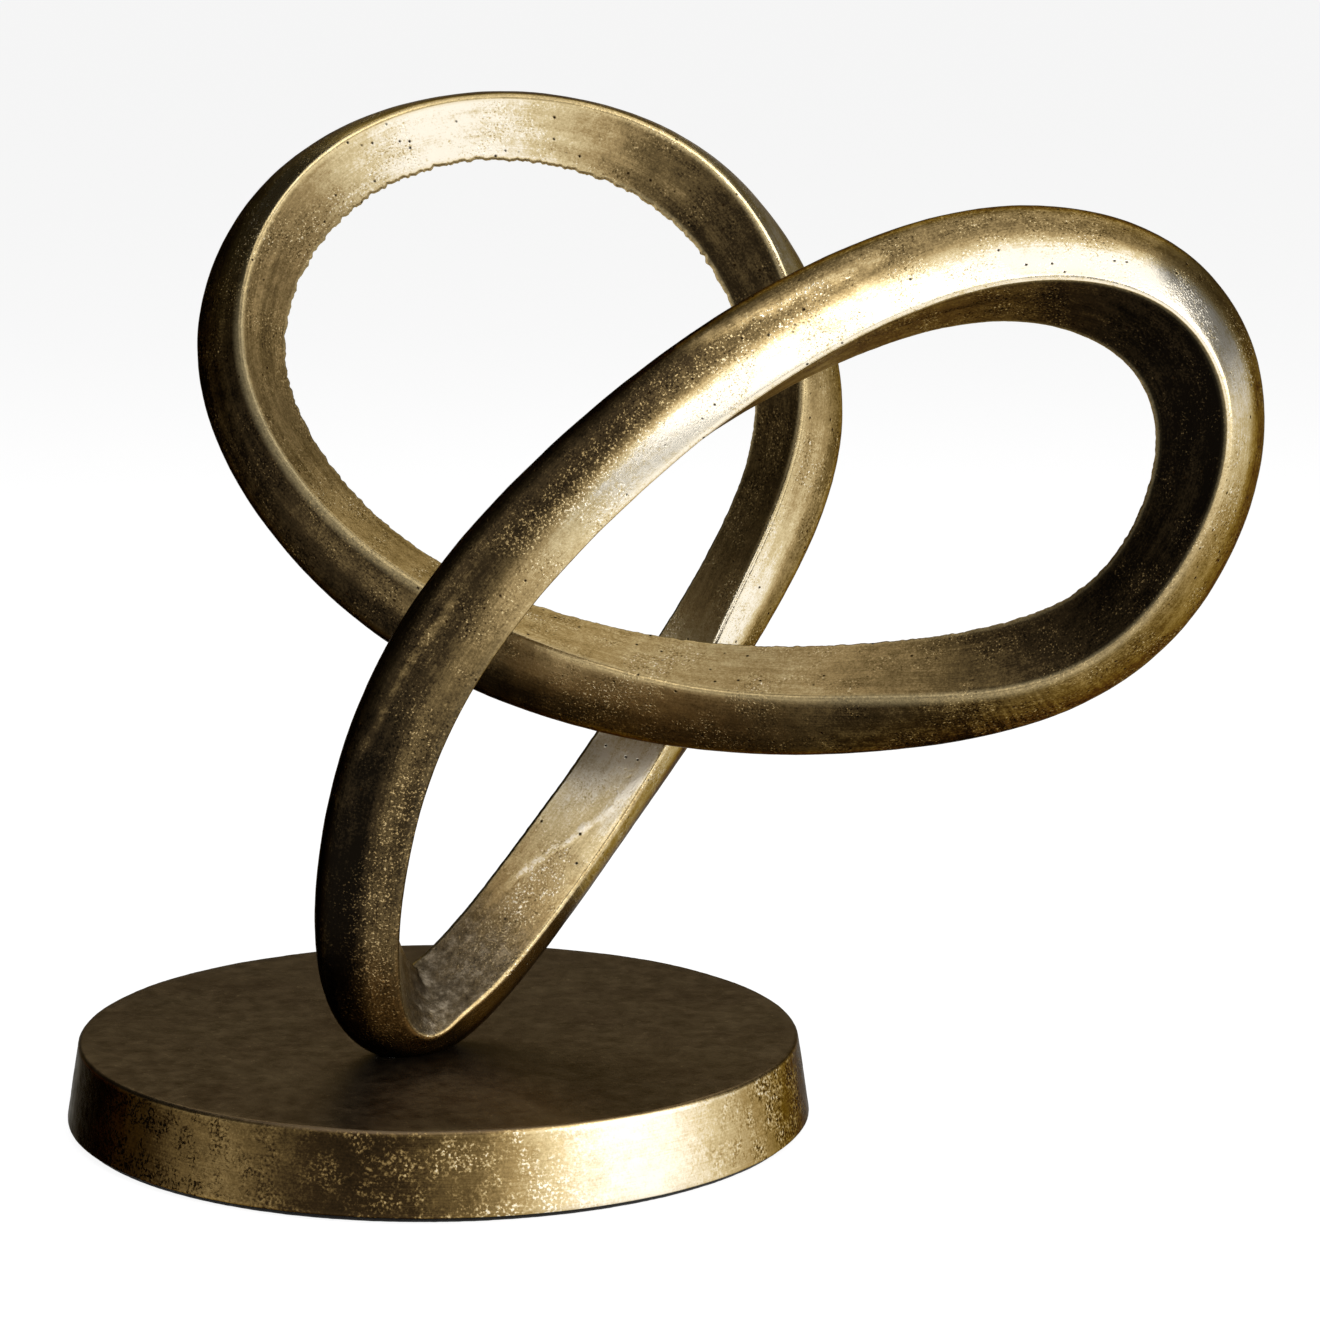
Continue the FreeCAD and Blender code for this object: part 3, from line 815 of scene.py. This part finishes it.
class TurnTree(GridTree):
    """Node tree that turns an outline round the upright axis and works a skin into it."""

    NAME = "turned_disc"
    UNROLLED = 100 * MM

    def lay(self) -> None:
        """Lays out the turned outline and its cast skin."""
        put = self.put
        row = self.read(self.down, self.row, "worked side rubbed lay", "place out")
        ring = self.read(self.across, self.column, "along rub", "round pitted")
        place, out = (put(VECTOR, (row[label], ring["round"]), operation="MULTIPLY") for label in ("place", "out"))
        height = put(MATH, (self.cast_skin(place), row["worked"]), operation="MULTIPLY")
        # The side's rub carries painted highlights and shade round the base
        self.close(put(VECTOR, (out, height, place), operation="MULTIPLY_ADD"), {
            "side": row["side"],
            "rubbed": put(MATH, (ring["rub"], row["side"], row["rubbed"]), operation="MULTIPLY_ADD"),
        }, {"spot": put(JOINED, (ring["along"], row["lay"])), "pitted": ring["pitted"]})

    def turn(self, outline: list[tuple[float, ...]], name: str, columns: int, values: dict[str, object],
             stations: tuple[tuple[float, ...], ...], tool: bpy.types.Object | None = None) -> bpy.types.Object:
        """Turns an outline, and cuts a tool's shape out of it.

        Args:
            outline: Radius, height, outward shares, worked, side and rub of each row.
            name: Name of the piece.
            columns: Points round the piece.
            values: Values of the tree's inputs by name.
            stations: Rub with painted highlights and shade, dark pits and bright grains of the side at even turns.
            tool: Closed object that is cut away.

        Returns:
            The piece as a plain mesh.
        """
        radius, height, out, up, worked, side, rubbed = np.array(outline).T
        laid = np.cumsum(np.hypot(np.diff(radius), np.diff(height)))
        table = points_mesh(name + "_rows", {
            "place": np.column_stack([radius, radius, height]), "out": np.column_stack([out, out, up]),
            "worked": worked, "side": side, "rubbed": rubbed, "lay": np.concatenate([[0.0], laid]),
        })
        steps = np.arange(columns + 1)
        turns = steps % columns * (2 * math.pi / columns)
        course = ClosedCourse(np.array(stations)).value(steps / columns)
        ring = stand(name + "_columns", points_mesh(name + "_columns", {
            "round": np.column_stack([np.cos(turns), np.sin(turns), np.ones(columns + 1)]),
            "along": steps * (2 * math.pi / columns) * self.UNROLLED,
            "rub": course[:, 0],
            "pitted": np.column_stack([np.clip(course[:, 1:], 0, 1), np.zeros(columns + 1)]),
        }))
        piece = self.dress(table, name, values | {"Columns": ring}, tool)
        bpy.data.objects.remove(ring)
        return piece


# Sub-assemblies


def stand_in(piece: bpy.types.Object, node: str) -> None:
    """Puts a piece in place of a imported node, on the same body.

    Args:
        piece: Piece that was made.
        node: Node that it replaces.
    """
    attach(piece, BODY)
    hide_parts(node)
    LOG.info("%s has %d faces", piece.name, len(piece.data.polygons))


@dataclass
class Strand:
    """The knot: one closed D-shaped strand, joined from three castings with three weld beads."""

    width: float = 22.0 * MM
    thickness: float = 25.0 * MM
    edge_round: float = 1.2 * MM
    path_size: Place = (250.0 * MM, 72.0 * MM, 230.0 * MM)
    lift: float = 34.059 * MM
    seat_height: float = 23.0 * MM
    weld_half_width: float = 3.0 * MM
    weld_depth: float = 3.5 * MM
    flat_offset: float = 0.42
    crown_share: float = 0.75
    row_step: float = 0.55 * MM
    samples: int = 1000
    girth: float = 80.0 * MM
    filed_reach: float = 26.0 * MM
    filed_peak: float = 1.3
    bar_seam: float = 0.427
    top_seam: float = 0.757
    foot_seam: float = 0.955
    columns: tuple[tuple[Zone, int], ...] = ((Zone.CROWN, 12), (Zone.FLANK, 16), (Zone.EDGE, 5), (Zone.FLAT, 12))
    # Shares of the way from the crown's middle to the edge: where its rub and painted light give way to the flank's,
    # and where the sand's grain comes in, with the least of it
    crown_to_flank_span: tuple[float, float] = (0.54, 0.81)
    sand_span: tuple[float, float] = (0.15, 0.45)
    least_sand: float = 0.25
    # How far the worn ridge reaches on to the flank and the flat, as shares of their runs
    ridge_on_flank: float = 0.10
    ridge_on_flat: float = 0.09

    STATION_SHARES = (
        (-0.004, -0.28, -0.004), (-0.068, -0.54, 0.076), (-0.046, -0.65, 0.286), (0.040, -0.65, 0.478),
        (0.180, -0.60, 0.640), (0.352, -0.57, 0.776), (0.562, -0.58, 0.864), (0.738, -0.61, 0.824),
        (0.798, -0.61, 0.674), (0.744, -0.56, 0.506), (0.630, -0.47, 0.408), (0.464, -0.36, 0.368),
        (0.254, -0.22, 0.366), (0.030, -0.06, 0.432), (-0.134, 0.10, 0.560), (-0.212, 0.23, 0.738),
        (-0.150, 0.31, 0.914), (0.018, 0.35, 1.002), (0.214, 0.37, 0.972), (0.342, 0.38, 0.846),
        (0.388, 0.38, 0.650), (0.318, 0.32, 0.448), (0.224, 0.20, 0.286), (0.118, -0.01, 0.130),
    )
    STATION_TURNS = (
        47, -2, -14, -13, -1, 13, 29, 46, 51, 47, 45, 32, 25, 15, 21, 35, 62, 81, 80, 67, 42, 41, 59, 63,
    )
    SECTION_SHARES = (
        (1.00, 0.91), (0.94, 0.85), (0.89, 0.88), (0.88, 0.92), (0.89, 0.93), (0.96, 0.96),
        (1.06, 1.03), (1.14, 1.12), (1.01, 1.09), (0.90, 1.05), (0.98, 1.05), (0.99, 1.05),
        (0.97, 1.03), (0.91, 0.96), (0.85, 0.86), (0.83, 0.86), (0.82, 0.88), (0.80, 0.87),
        (0.86, 0.89), (0.87, 0.90), (0.84, 0.89), (0.83, 0.90), (0.92, 0.92), (0.98, 0.93),
    )
    # How far the patina is rubbed back at each station, with painted light and shade in the same shares (lit and upper
    # sides lighter, undersides and shaded sides darker): flat face, near flank, crown, far flank
    RUB_AND_PAINTED_LIGHT_SHARES = (
        (0.28, 0.62, 0.30, 0.35), (0.66, 0.38, 0.02, 0.30), (0.60, 0.27, 0.02, 0.30), (0.40, 0.46, 0.20, 0.30),
        (0.40, 0.92, 0.14, 0.35), (0.46, 1.00, 0.34, 0.40), (0.34, 0.96, 0.46, 0.45), (0.04, 1.05, 0.50, 0.45),
        (0.00, 0.80, 0.46, 0.40), (0.09, 0.47, 0.45, 0.35), (0.21, 0.42, 0.36, 0.30), (0.53, 0.22, 0.24, 0.25),
        (0.66, 0.56, 0.44, 0.25), (0.58, 0.43, 0.14, 0.30), (0.54, 0.20, 0.10, 0.30), (0.45, 0.15, 0.08, 0.30),
        (0.56, 0.76, 0.46, 0.40), (1.03, 0.52, 0.42, 0.45), (0.48, 0.63, 0.50, 0.50), (0.22, 0.84, 0.72, 0.45),
        (0.24, 0.61, 0.50, 0.40), (0.56, 1.02, 0.46, 0.40), (0.96, 0.76, 0.42, 0.35), (0.66, 0.70, 0.35, 0.30),
    )
    # How ragged the far edge is at each station, and how far the edges are worn bright
    RAG_SHARES = (
        (0.10, 0.15), (0.10, 0.05), (0.10, 0.05), (0.10, 0.10), (0.15, 0.20), (0.20, 0.30),
        (0.15, 0.35), (0.15, 0.35), (0.25, 0.40), (0.30, 0.35), (0.40, 0.40), (0.50, 0.40),
        (0.60, 0.45), (0.80, 0.50), (1.00, 0.45), (1.00, 0.45), (1.00, 0.70), (1.00, 0.70),
        (0.90, 0.60), (0.60, 0.80), (0.40, 0.70), (0.20, 0.50), (0.10, 0.15), (0.10, 0.10),
    )

    def __post_init__(self) -> None:
        """Prepares the courses that the rows are read from."""
        self.path = ClosedCourse(np.array(self.STATION_SHARES) * self.path_size + (0, 0, self.lift))
        self.turn = ClosedCourse(np.radians(np.array(self.STATION_TURNS, dtype=float))[:, None])
        self.section = ClosedCourse(np.array(self.SECTION_SHARES) * (self.width, self.thickness))
        self.rub = ClosedCourse(np.array(self.RUB_AND_PAINTED_LIGHT_SHARES))
        self.rag = ClosedCourse(np.array(self.RAG_SHARES))

    def outline(self) -> bpy.types.Object:
        """Makes the outline's points, from the crown's middle round past both edges and back."""
        half = [(zone, step / count) for zone, count in self.columns for step in range(count)]
        half.append((Zone.FLAT, 1.0))
        rows = [(zone, step, 1.0) for zone, step in half] + [(zone, step, -1.0) for zone, step in half[-2::-1]]
        last = len(rows) - 1
        back = sum(number for zone, number in self.columns if zone in (Zone.CROWN, Zone.FLANK))
        ridge, weights, sandy = [], [], []
        for place, (zone, step, sign) in enumerate(rows):
            share = min(place, last - place) / back
            gone = rise(share, *self.crown_to_flank_span)
            crown = 1 - gone * gone * (3 - 2 * gone)
            inner = zone is Zone.FLAT
            weights.append(
                (0.0, 0.0, 0.0) if inner else (1 - crown if sign > 0 else 0.0, crown, 1 - crown if sign < 0 else 0.0)
            )
            skin = rise(share, *self.sand_span)
            sandy.append(1.0 if inner else self.least_sand + (1 - self.least_sand) * skin)
            ridge.append({
                Zone.CROWN: 0.0, Zone.FLANK: rise(step, 1 - self.ridge_on_flank, 1.0), Zone.EDGE: 1.0,
                Zone.FLAT: rise(step, self.ridge_on_flat, 0.0),
            }[zone])
        return stand("strand_outline", points_mesh("strand_outline", {
            "zone": [zone.value for zone, _, _ in rows],
            "step": [1 - step for _, step, _ in rows],
            "reach": [1 - step if zone is Zone.FLAT else 1.0 for zone, step, _ in rows],
            "sign": [sign for _, _, sign in rows],
            "girth": [self.girth * place / last for place in range(last + 1)],
            "ridge": ridge,
            "lean": weights,
            "sandy": sandy,
            "inner": [float(zone is Zone.FLAT) for zone, _, _ in rows],
        }))

    def shares_for(self, share: float, length: float) -> float:
        """Share of the way round that a short length takes at a place."""
        return length / float(np.linalg.norm(self.path.value(np.array([share]), slope=True)))

    def table(self, name: str, rows: list[tuple[float, float, float, float]]) -> bpy.types.Mesh:
        """Makes the points that a run of the strand is swept over, four a row.

        Args:
            name: Name of the mesh.
            rows: Share, inset, whether the row is closed to a point, and whether it is a rim.

        Returns:
            Mesh with a point for each zone of each row.
        """
        shares, inset, closed, rim = np.array(rows).T
        along = self.path.value(shares, slope=True)
        pace = np.linalg.norm(along, axis=1)
        along /= pace[:, None]
        inside = np.cross(along, (0.0, -1.0, 0.0))
        inside /= np.linalg.norm(inside, axis=1)[:, None]
        front = np.cross(inside, along)
        turn = self.turn.value(shares)
        flat = inside * np.cos(turn) + front * np.sin(turn)
        side = front * np.cos(turn) - inside * np.sin(turn)
        width, thickness = self.section.value(shares).T
        half = width / 2 - inset
        depth = thickness - 2 * inset
        crown = half * self.crown_share
        flank = (half**2 + (depth - crown) ** 2 - crown**2) / (2 * (half - crown))
        edge = self.edge_round
        edge_side = np.sqrt((flank - edge) ** 2 - edge**2) - (flank - half)
        edge_turn = np.arcsin(edge / (flank - edge))
        crown_turn = np.arctan2(depth - crown, flank - half)
        origin = self.path.value(shares) + flat * (thickness * self.flat_offset - inset)[:, None]
        open_row = 1 - closed
        zero, quarter = np.zeros_like(half), np.full_like(half, math.pi / 2)
        middle = closed * depth / 2
        arcs = (
            (edge_side, zero, zero), (edge_side, zero + edge, zero + edge),
            (half - flank, zero, flank), (zero, depth - crown, crown),
        )
        turns = ((-quarter, -quarter), (-quarter, edge_turn), (edge_turn, crown_turn), (crown_turn, quarter))
        arc = np.stack([
            np.stack([a * open_row, b * open_row + middle, c * open_row], axis=1) for a, b, c in arcs
        ], axis=1)
        swing = np.stack([np.stack([a, b, zero], axis=1) for a, b in turns], axis=1)
        whole = np.linspace(-1.0, 2.0, 3 * self.samples + 1)
        laid = np.linalg.norm(np.diff(self.path.value(whole), axis=0), axis=1)
        seams = np.array([self.bar_seam, self.top_seam, self.foot_seam])
        apart = np.abs((shares[:, None] - seams + 0.5) % 1.0 - 0.5).min(axis=1)
        # Rub with painted light and shade at each row, and how ragged and worn its edges are
        rub, rag = self.rub.value(shares), self.rag.value(shares)
        values = {
            "origin": origin, "side": side, "rear": -flat,
            "run": np.interp(shares, whole, np.concatenate([[0.0], np.cumsum(laid)])),
            "worked": ((inset == 0) & (closed == 0)).astype(float),
            "filed": np.clip(self.filed_peak - apart * pace / self.filed_reach, 0, 1),
            "rim": rim, "rub": rub[:, 1:], "flat_rub": rub[:, 0], "rag": np.column_stack([rag, zero]),
        }
        return points_mesh(name, {"arc": arc.reshape(-1, 3), "turns": swing.reshape(-1, 3)} | {
            label: np.repeat(value, len(Zone), axis=0) for label, value in values.items()
        })

    def run_shares(self, first: float, last: float) -> np.ndarray:
        """Even shares from one place on to another, a row's step apart."""
        length = (last - first) % 1.0
        middle = first + length / 2
        count = max(2, round(length / self.shares_for(middle, self.row_step)))
        return first + length * np.arange(count + 1) / count

    def open_rows(self, start: float, end: float) -> list[tuple[float, float, float, float]]:
        """Rows of the outer surface between two places, with a rim at each end."""
        shares = self.run_shares(start, end)
        return [(share, 0.0, 0.0, float(share in (shares[0], shares[-1]))) for share in shares]

    def casting_rows(self, first: float, last: float) -> list[tuple[float, float, float, float]]:
        """Rows of a casting between two seams, with its tapered noses."""
        start = first + self.shares_for(first, self.weld_half_width)
        end = last - self.shares_for(last, self.weld_half_width)
        head, tail = ([(seam, self.weld_depth, closed, 0.0) for closed in (1.0, 0.0)] for seam in (first, last))
        return head + self.open_rows(start, end) + tail[::-1]

    def bead_rows(self, seam: float) -> list[tuple[float, float, float, float]]:
        """Rows of the weld bead in a seam's groove, closed into a ring."""
        half = self.shares_for(seam, self.weld_half_width)
        rows = self.open_rows(seam - half, seam + half)
        return rows + [(seam, self.weld_depth, 0.0, 0.0), rows[0]]

    def build(self) -> None:
        """Builds and dresses the three castings and the three beads."""
        outline = self.outline()
        sweep = SweepTree()
        values = {
            "Columns": outline, "Seat Height": self.seat_height, "Ground Waves": 0.35 * MM, "Wave Size": 16 * MM,
            "Casting Skin": 0.12 * MM, "Skin Size": 2.4 * MM, "Ragged Edge": 2.8 * MM, "Rag Size": 1.7 * MM,
            "Nub Place": (-15 * MM, -55 * MM, 95 * MM), "Nub Height": 0.9 * MM, "Nub Size": 1.4 * MM,
            "Seed": 5.0, "Finish": AntiqueBrassCasting().material(),
        }
        plans = {
            "front_casting": self.casting_rows(self.foot_seam - 1.0, self.bar_seam),
            "left_loop_casting": self.casting_rows(self.bar_seam, self.top_seam),
            "back_strut_casting": self.casting_rows(self.top_seam, self.foot_seam),
            "bar_weld_bead": self.bead_rows(self.bar_seam),
            "top_weld_bead": self.bead_rows(self.top_seam),
            "foot_weld_bead": self.bead_rows(self.foot_seam),
        }
        for node, rows in plans.items():
            stand_in(sweep.dress(self.table(node + "_rows", rows), "brass_" + node, values), node)
        bpy.data.objects.remove(outline)


@dataclass
class RoundBase:
    """Solid round base with a drafted side, drilled from below for the foot's screws."""

    radius: float = 100.0 * MM
    draft_inset: float = 3.4 * MM
    bottom: float = 1.5 * MM
    top: float = 23.0 * MM
    top_round: float = 1.2 * MM
    bottom_round: float = 0.8 * MM
    columns: int = 700
    row_step: float = 0.85 * MM
    top_rows: int = 26
    top_round_rows: int = 6
    bottom_round_rows: int = 5
    bottom_rows: int = 8
    # How much of the cast skin shows on the top, on its border, and on the rounds
    top_worked: float = 0.15
    border_worked: float = 0.5
    border: float = 0.8
    round_worked: float = 0.8
    level_rub: float = 0.5
    round_rub: float = 0.10
    seat: tuple[float, float] = (-5.40 * MM, -20.08 * MM)
    seat_turn: float = 40.97
    screw_spacing: float = 15.0 * MM
    hole_radius: float = 3.3 * MM
    bore_radius: float = 6.5 * MM
    bore_top: float = 10.5 * MM
    hole_sides: int = 48
    spare: float = 2.0 * MM
    merged: float = 0.001 * MM

    # Rub with painted highlights and shade, dark pits and bright grains of the side, every 15 degrees from the right
    # round the back
    SIDE_SHARES = (
        (0.22, 0.3, 0.3), (0.30, 0.2, 0.3), (0.40, 0.2, 0.5), (0.45, 0.0, 0.6), (0.35, 0.3, 0.4), (0.40, 0.6, 0.2),
        (0.50, 0.4, 0.0), (0.42, 0.1, 0.2), (0.35, 0.2, 0.5), (0.40, 0.3, 0.4), (0.30, 0.4, 0.2), (0.10, 0.3, 0.1),
        (-0.12, 0.2, 0.0), (-0.04, 0.4, 0.0), (0.06, 0.8, 0.0), (0.22, 1.0, 0.0), (0.46, 0.6, 0.1), (0.18, 0.1, 0.6),
        (0.24, 0.0, 1.0), (0.64, 0.0, 0.8), (0.98, 0.0, 0.1), (0.88, 0.2, 0.1), (0.60, 0.7, 0.6), (0.36, 0.4, 0.7),
    )

    def outline(self) -> list[tuple[float, ...]]:
        """Works out the turned outline from the top's middle, over the rim and side, to the bottom's middle.

        Returns:
            Radius, height, outward radius and height shares, worked share, side share and rub of each row.
        """
        quarter = math.pi / 2
        draft = math.atan2(self.draft_inset, self.top - self.bottom)
        upper_reach = self.top_round * math.tan((quarter - draft) / 2)
        lower_reach = self.bottom_round * math.tan((quarter + draft) / 2)
        upper = (self.radius - self.draft_inset - upper_reach, self.top - self.top_round, self.top_round)
        lower = (self.radius - lower_reach, self.bottom + self.bottom_round, self.bottom_round)

        def round_row(centre: tuple[float, ...], angle: float, *values: float) -> tuple[float, ...]:
            """Row at an angle round a centre, which is given with its radius."""
            out = (math.cos(angle), math.sin(angle))
            return centre[0] + centre[2] * out[0], centre[1] + centre[2] * out[1], *out, *values

        rows = []
        for step in range(self.top_rows):
            radius = upper[0] * step / self.top_rows
            worked = self.top_worked if radius < self.border * self.radius else self.border_worked
            rows.append((radius, self.top, 0.0, 1.0, worked, 0.0, self.level_rub))
        for step in range(self.top_round_rows + 1):
            part = step / self.top_round_rows
            angle = quarter - (quarter - draft) * part
            rows.append(round_row(upper, angle, self.round_worked, part, self.round_rub))
        high, low = rows[-1], round_row(lower, draft)
        count = round((high[1] - low[1]) / self.row_step)
        for step in range(1, count):
            part = step / count
            rows.append((
                high[0] + (low[0] - high[0]) * part, high[1] + (low[1] - high[1]) * part, *low[2:], 1.0, 1.0, 0.0,
            ))
        for step in range(self.bottom_round_rows + 1):
            part = step / self.bottom_round_rows
            angle = draft - (quarter + draft) * part
            rows.append(round_row(lower, angle, self.round_worked * (1 - part), 1.0, 0.0))
        edge, count = rows[-1][0], self.bottom_rows
        return rows + [
            (edge * (1 - step / count), self.bottom, 0.0, -1.0, 0.0, 0.0, self.level_rub)
            for step in range(1, count + 1)
        ]

    def screw_places(self) -> list[tuple[float, float]]:
        """Plan places of the two screws, along the foot."""
        turn = math.radians(self.seat_turn)
        reach = self.screw_spacing / 2
        return [
            (self.seat[0] + sign * reach * math.cos(turn), self.seat[1] + sign * reach * math.sin(turn))
            for sign in (1, -1)
        ]

    def drill(self) -> bpy.types.Object:
        """Makes one closed tool with the shape of both stepped holes."""
        below, above = self.bottom - self.spare, self.top + self.spare
        profile = (
            (0.0, below), (self.bore_radius, below), (self.bore_radius, self.bore_top),
            (self.hole_radius, self.bore_top), (self.hole_radius, above), (0.0, above),
        )
        tool = bmesh.new()
        for x, y in self.screw_places():
            line = [tool.verts.new((x + radius, y, height)) for radius, height in profile]
            edges = [tool.edges.new(pair) for pair in zip(line, line[1:])]
            bmesh.ops.spin(
                tool, geom=line + edges, cent=(x, y, 0.0), axis=(0, 0, 1), angle=2 * math.pi, steps=self.hole_sides,
            )
        bmesh.ops.remove_doubles(tool, verts=tool.verts, dist=self.merged)
        bmesh.ops.recalc_face_normals(tool, faces=tool.faces)
        mesh = bpy.data.meshes.new("drill")
        tool.to_mesh(mesh)
        tool.free()
        return stand("drill", mesh)

    def build(self, turning: TurnTree) -> None:
        """Builds the base in place of its node.

        Args:
            turning: Node tree that turns an outline.
        """
        drill = self.drill()
        piece = turning.turn(self.outline(), "brass_base_plate", self.columns, {
            "Ground Waves": 0.45 * MM, "Wave Size": 22 * MM, "Casting Skin": 0.22 * MM, "Skin Size": 2.2 * MM,
            "Seed": 9.0, "Finish": BaseBrass().material(),
        }, self.SIDE_SHARES, drill)
        bpy.data.objects.remove(drill)
        stand_in(piece, "base_plate")


@dataclass
class FeltPad:
    """Die-cut felt disc glued under the base."""

    radius: float = 98.0 * MM
    thickness: float = 1.5 * MM
    columns: int = 500
    edge_rows: int = 6
    rings: tuple[float, ...] = (0.0, 0.4, 0.8, 0.95, 0.985)
    rub: float = 0.5

    def outline(self) -> list[tuple[float, ...]]:
        """Works out the felt's outline, with its edge rounded by wear."""
        half = self.thickness / 2
        rows = [(self.radius * share, self.thickness, 0.0, 1.0, 0.0, 0.0, self.rub) for share in self.rings]
        for step in range(self.edge_rows + 1):
            angle = math.pi / 2 - math.pi * step / self.edge_rows
            out = (math.cos(angle), math.sin(angle))
            rows.append((self.radius - half + half * out[0], half + half * out[1], *out, abs(out[0]), 1.0, self.rub))
        return rows + [(self.radius * share, 0.0, 0.0, -1.0, 0.0, 0.0, self.rub) for share in self.rings[::-1]]

    def build(self, turning: TurnTree) -> None:
        """Builds the felt in place of its node.

        Args:
            turning: Node tree that turns an outline.
        """
        piece = turning.turn(self.outline(), "felt_base_pad", self.columns, {
            "Ground Waves": 0.0, "Wave Size": 10 * MM, "Casting Skin": 0.5 * MM, "Skin Size": 1.3 * MM,
            "Seed": 2.0, "Finish": BlackFelt().material(),
        }, ((0.0, 0.0, 0.0),) * 4)
        stand_in(piece, "felt_pad")


@dataclass
class FootFasteners:
    """Two screws and two washers that hold the foot from below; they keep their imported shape."""

    nodes: tuple[str, ...] = ("foot_screws", "foot_screw_washers")

    def build(self) -> None:
        """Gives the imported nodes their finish."""
        steel = ZincSteel().material()
        for node in self.nodes:
            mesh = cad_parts[node].data
            mesh.materials.clear()
            mesh.materials.append(steel)
            LOG.info("%s keeps its shape", node)


@dataclass
class Studio:
    """Pale floor, soft lamps and the camera of the photograph."""

    image_px: float = 1320.0
    focal_px: float = 4200.0
    sensor_mm: float = 36.0
    camera_place: Place = (0.05930, -1.09891, 0.31871)
    camera_pitch: float = 10.02
    camera_roll: float = 0.14
    clip: tuple[float, float] = (0.01, 200.0)
    floor_radius: float = 60.0
    floor_glow: float = 0.90
    floor_grey: float = 0.20
    left_wall: Stops = ((0.0, "#FAFAFA"), (0.05, "#8C8C8C"), (0.12, "#2C2C2C"), (1.0, "#262626"))
    right_wall: Stops = ((0.0, "#FAFAFA"), (0.05, "#D0D0D0"), (0.25, "#707070"), (1.0, "#484848"))
    wall_band: tuple[float, float] = (-0.5, 0.1)
    # Place, point that is faced, width and height in metres, and output in watts of each lamp
    lamps: tuple[tuple[str, Place, Place, tuple[float, float], float], ...] = (
        ("key_softbox", (1.15, -0.75, 0.85), (0.05, -0.02, 0.25), (1.9, 1.6), 21.0),
        ("top_softbox", (0.15, -0.30, 1.55), (0.05, -0.02, 0.14), (2.3, 2.0), 16.5),
        ("front_softbox", (-0.42, -1.05, 0.85), (0.05, -0.02, 0.14), (0.90, 1.10), 5.2),
        ("back_softbox", (0.15, 0.95, 1.15), (0.05, -0.02, 0.14), (1.6, 0.70), 4.6),
    )

    def camera(self) -> None:
        """Makes the camera."""
        data = bpy.data.cameras.new("camera")
        data.sensor_width = self.sensor_mm
        data.lens = self.focal_px / self.image_px * self.sensor_mm
        data.clip_start, data.clip_end = self.clip
        camera = stand("camera", data)
        camera.location = self.camera_place
        camera.rotation_mode = "ZYX"
        camera.rotation_euler = (math.radians(90 - self.camera_pitch), 0.0, math.radians(self.camera_roll))
        bpy.context.scene.camera = camera

    def floor(self) -> None:
        """Makes the floor, white to the camera and in reflections, under the object's shadow."""
        made = bpy.data.materials.new("pale_painted_floor")
        made.use_nodes = True
        made.node_tree.nodes.clear()
        put = partial(add, made.node_tree)
        path = put("ShaderNodeLightPath").outputs
        seen = path["Is Camera Ray"]
        for ray in ("Is Glossy Ray", "Is Transmission Ray"):
            seen = put(MATH, (seen, path[ray]), operation="MAXIMUM")
        strength = put(MATH, (seen, self.floor_glow), operation="MULTIPLY")
        glow = put("ShaderNodeEmission", {"Color": linear("#FFFFFF"), "Strength": strength})
        paint = put("ShaderNodeBsdfDiffuse", {"Color": (self.floor_grey,) * 3 + (1.0,)})
        put("ShaderNodeOutputMaterial", (put("ShaderNodeAddShader", (glow, paint)),))
        mesh = bpy.data.meshes.new("floor")
        r = self.floor_radius
        mesh.from_pydata([(-r, -r, 0), (r, -r, 0), (r, r, 0), (-r, r, 0)], [], [(0, 1, 2, 3)])
        mesh.materials.append(made)
        stand("floor", mesh)

    def light(self) -> None:
        """Makes the soft rectangular lamps, which the camera doesn't see."""
        for name, place, aim, size, power in self.lamps:
            data = bpy.data.lights.new(name, "AREA")
            data.shape = "RECTANGLE"
            data.size, data.size_y = size
            data.energy = power
            lamp = stand(name, data)
            lamp.location = place
            lamp.visible_camera = False
            lamp.rotation_euler = (Vector(aim) - Vector(place)).to_track_quat("-Z", "Y").to_euler()

    def world(self) -> None:
        """Makes the room: pale at the horizon and darker overhead, more so on the left."""
        world = bpy.data.worlds.new("room")
        world.use_nodes = True
        put = partial(add, world.node_tree)
        facing = put(APART, (put("ShaderNodeTexCoord").outputs["Generated"],)).outputs
        left, right = (set_ramp(put(RAMP, (facing[2],)), stops) for stops in (self.left_wall, self.right_wall))
        over = put(RANGE, (facing[0], *self.wall_band))
        room = put(MIX, {"Factor": over, "A": left, "B": right}, data_type="RGBA")
        fill(world.node_tree.nodes["Background"], {"Color": room, "Strength": 1.0})
        bpy.context.scene.world = world

    def build(self) -> None:
        """Builds the whole studio."""
        self.camera()
        self.floor()
        self.world()
        self.light()
        bpy.context.scene.view_settings.view_transform = "Standard"


def main() -> None:
    """Builds every sub-assembly and the studio."""
    logging.basicConfig(level=logging.INFO, format="%(name)s: %(message)s")
    Studio().build()
    Strand().build()
    turning = TurnTree()
    RoundBase().build(turning)
    FeltPad().build(turning)
    FootFasteners().build()


if __name__ == "__main__":
    main()
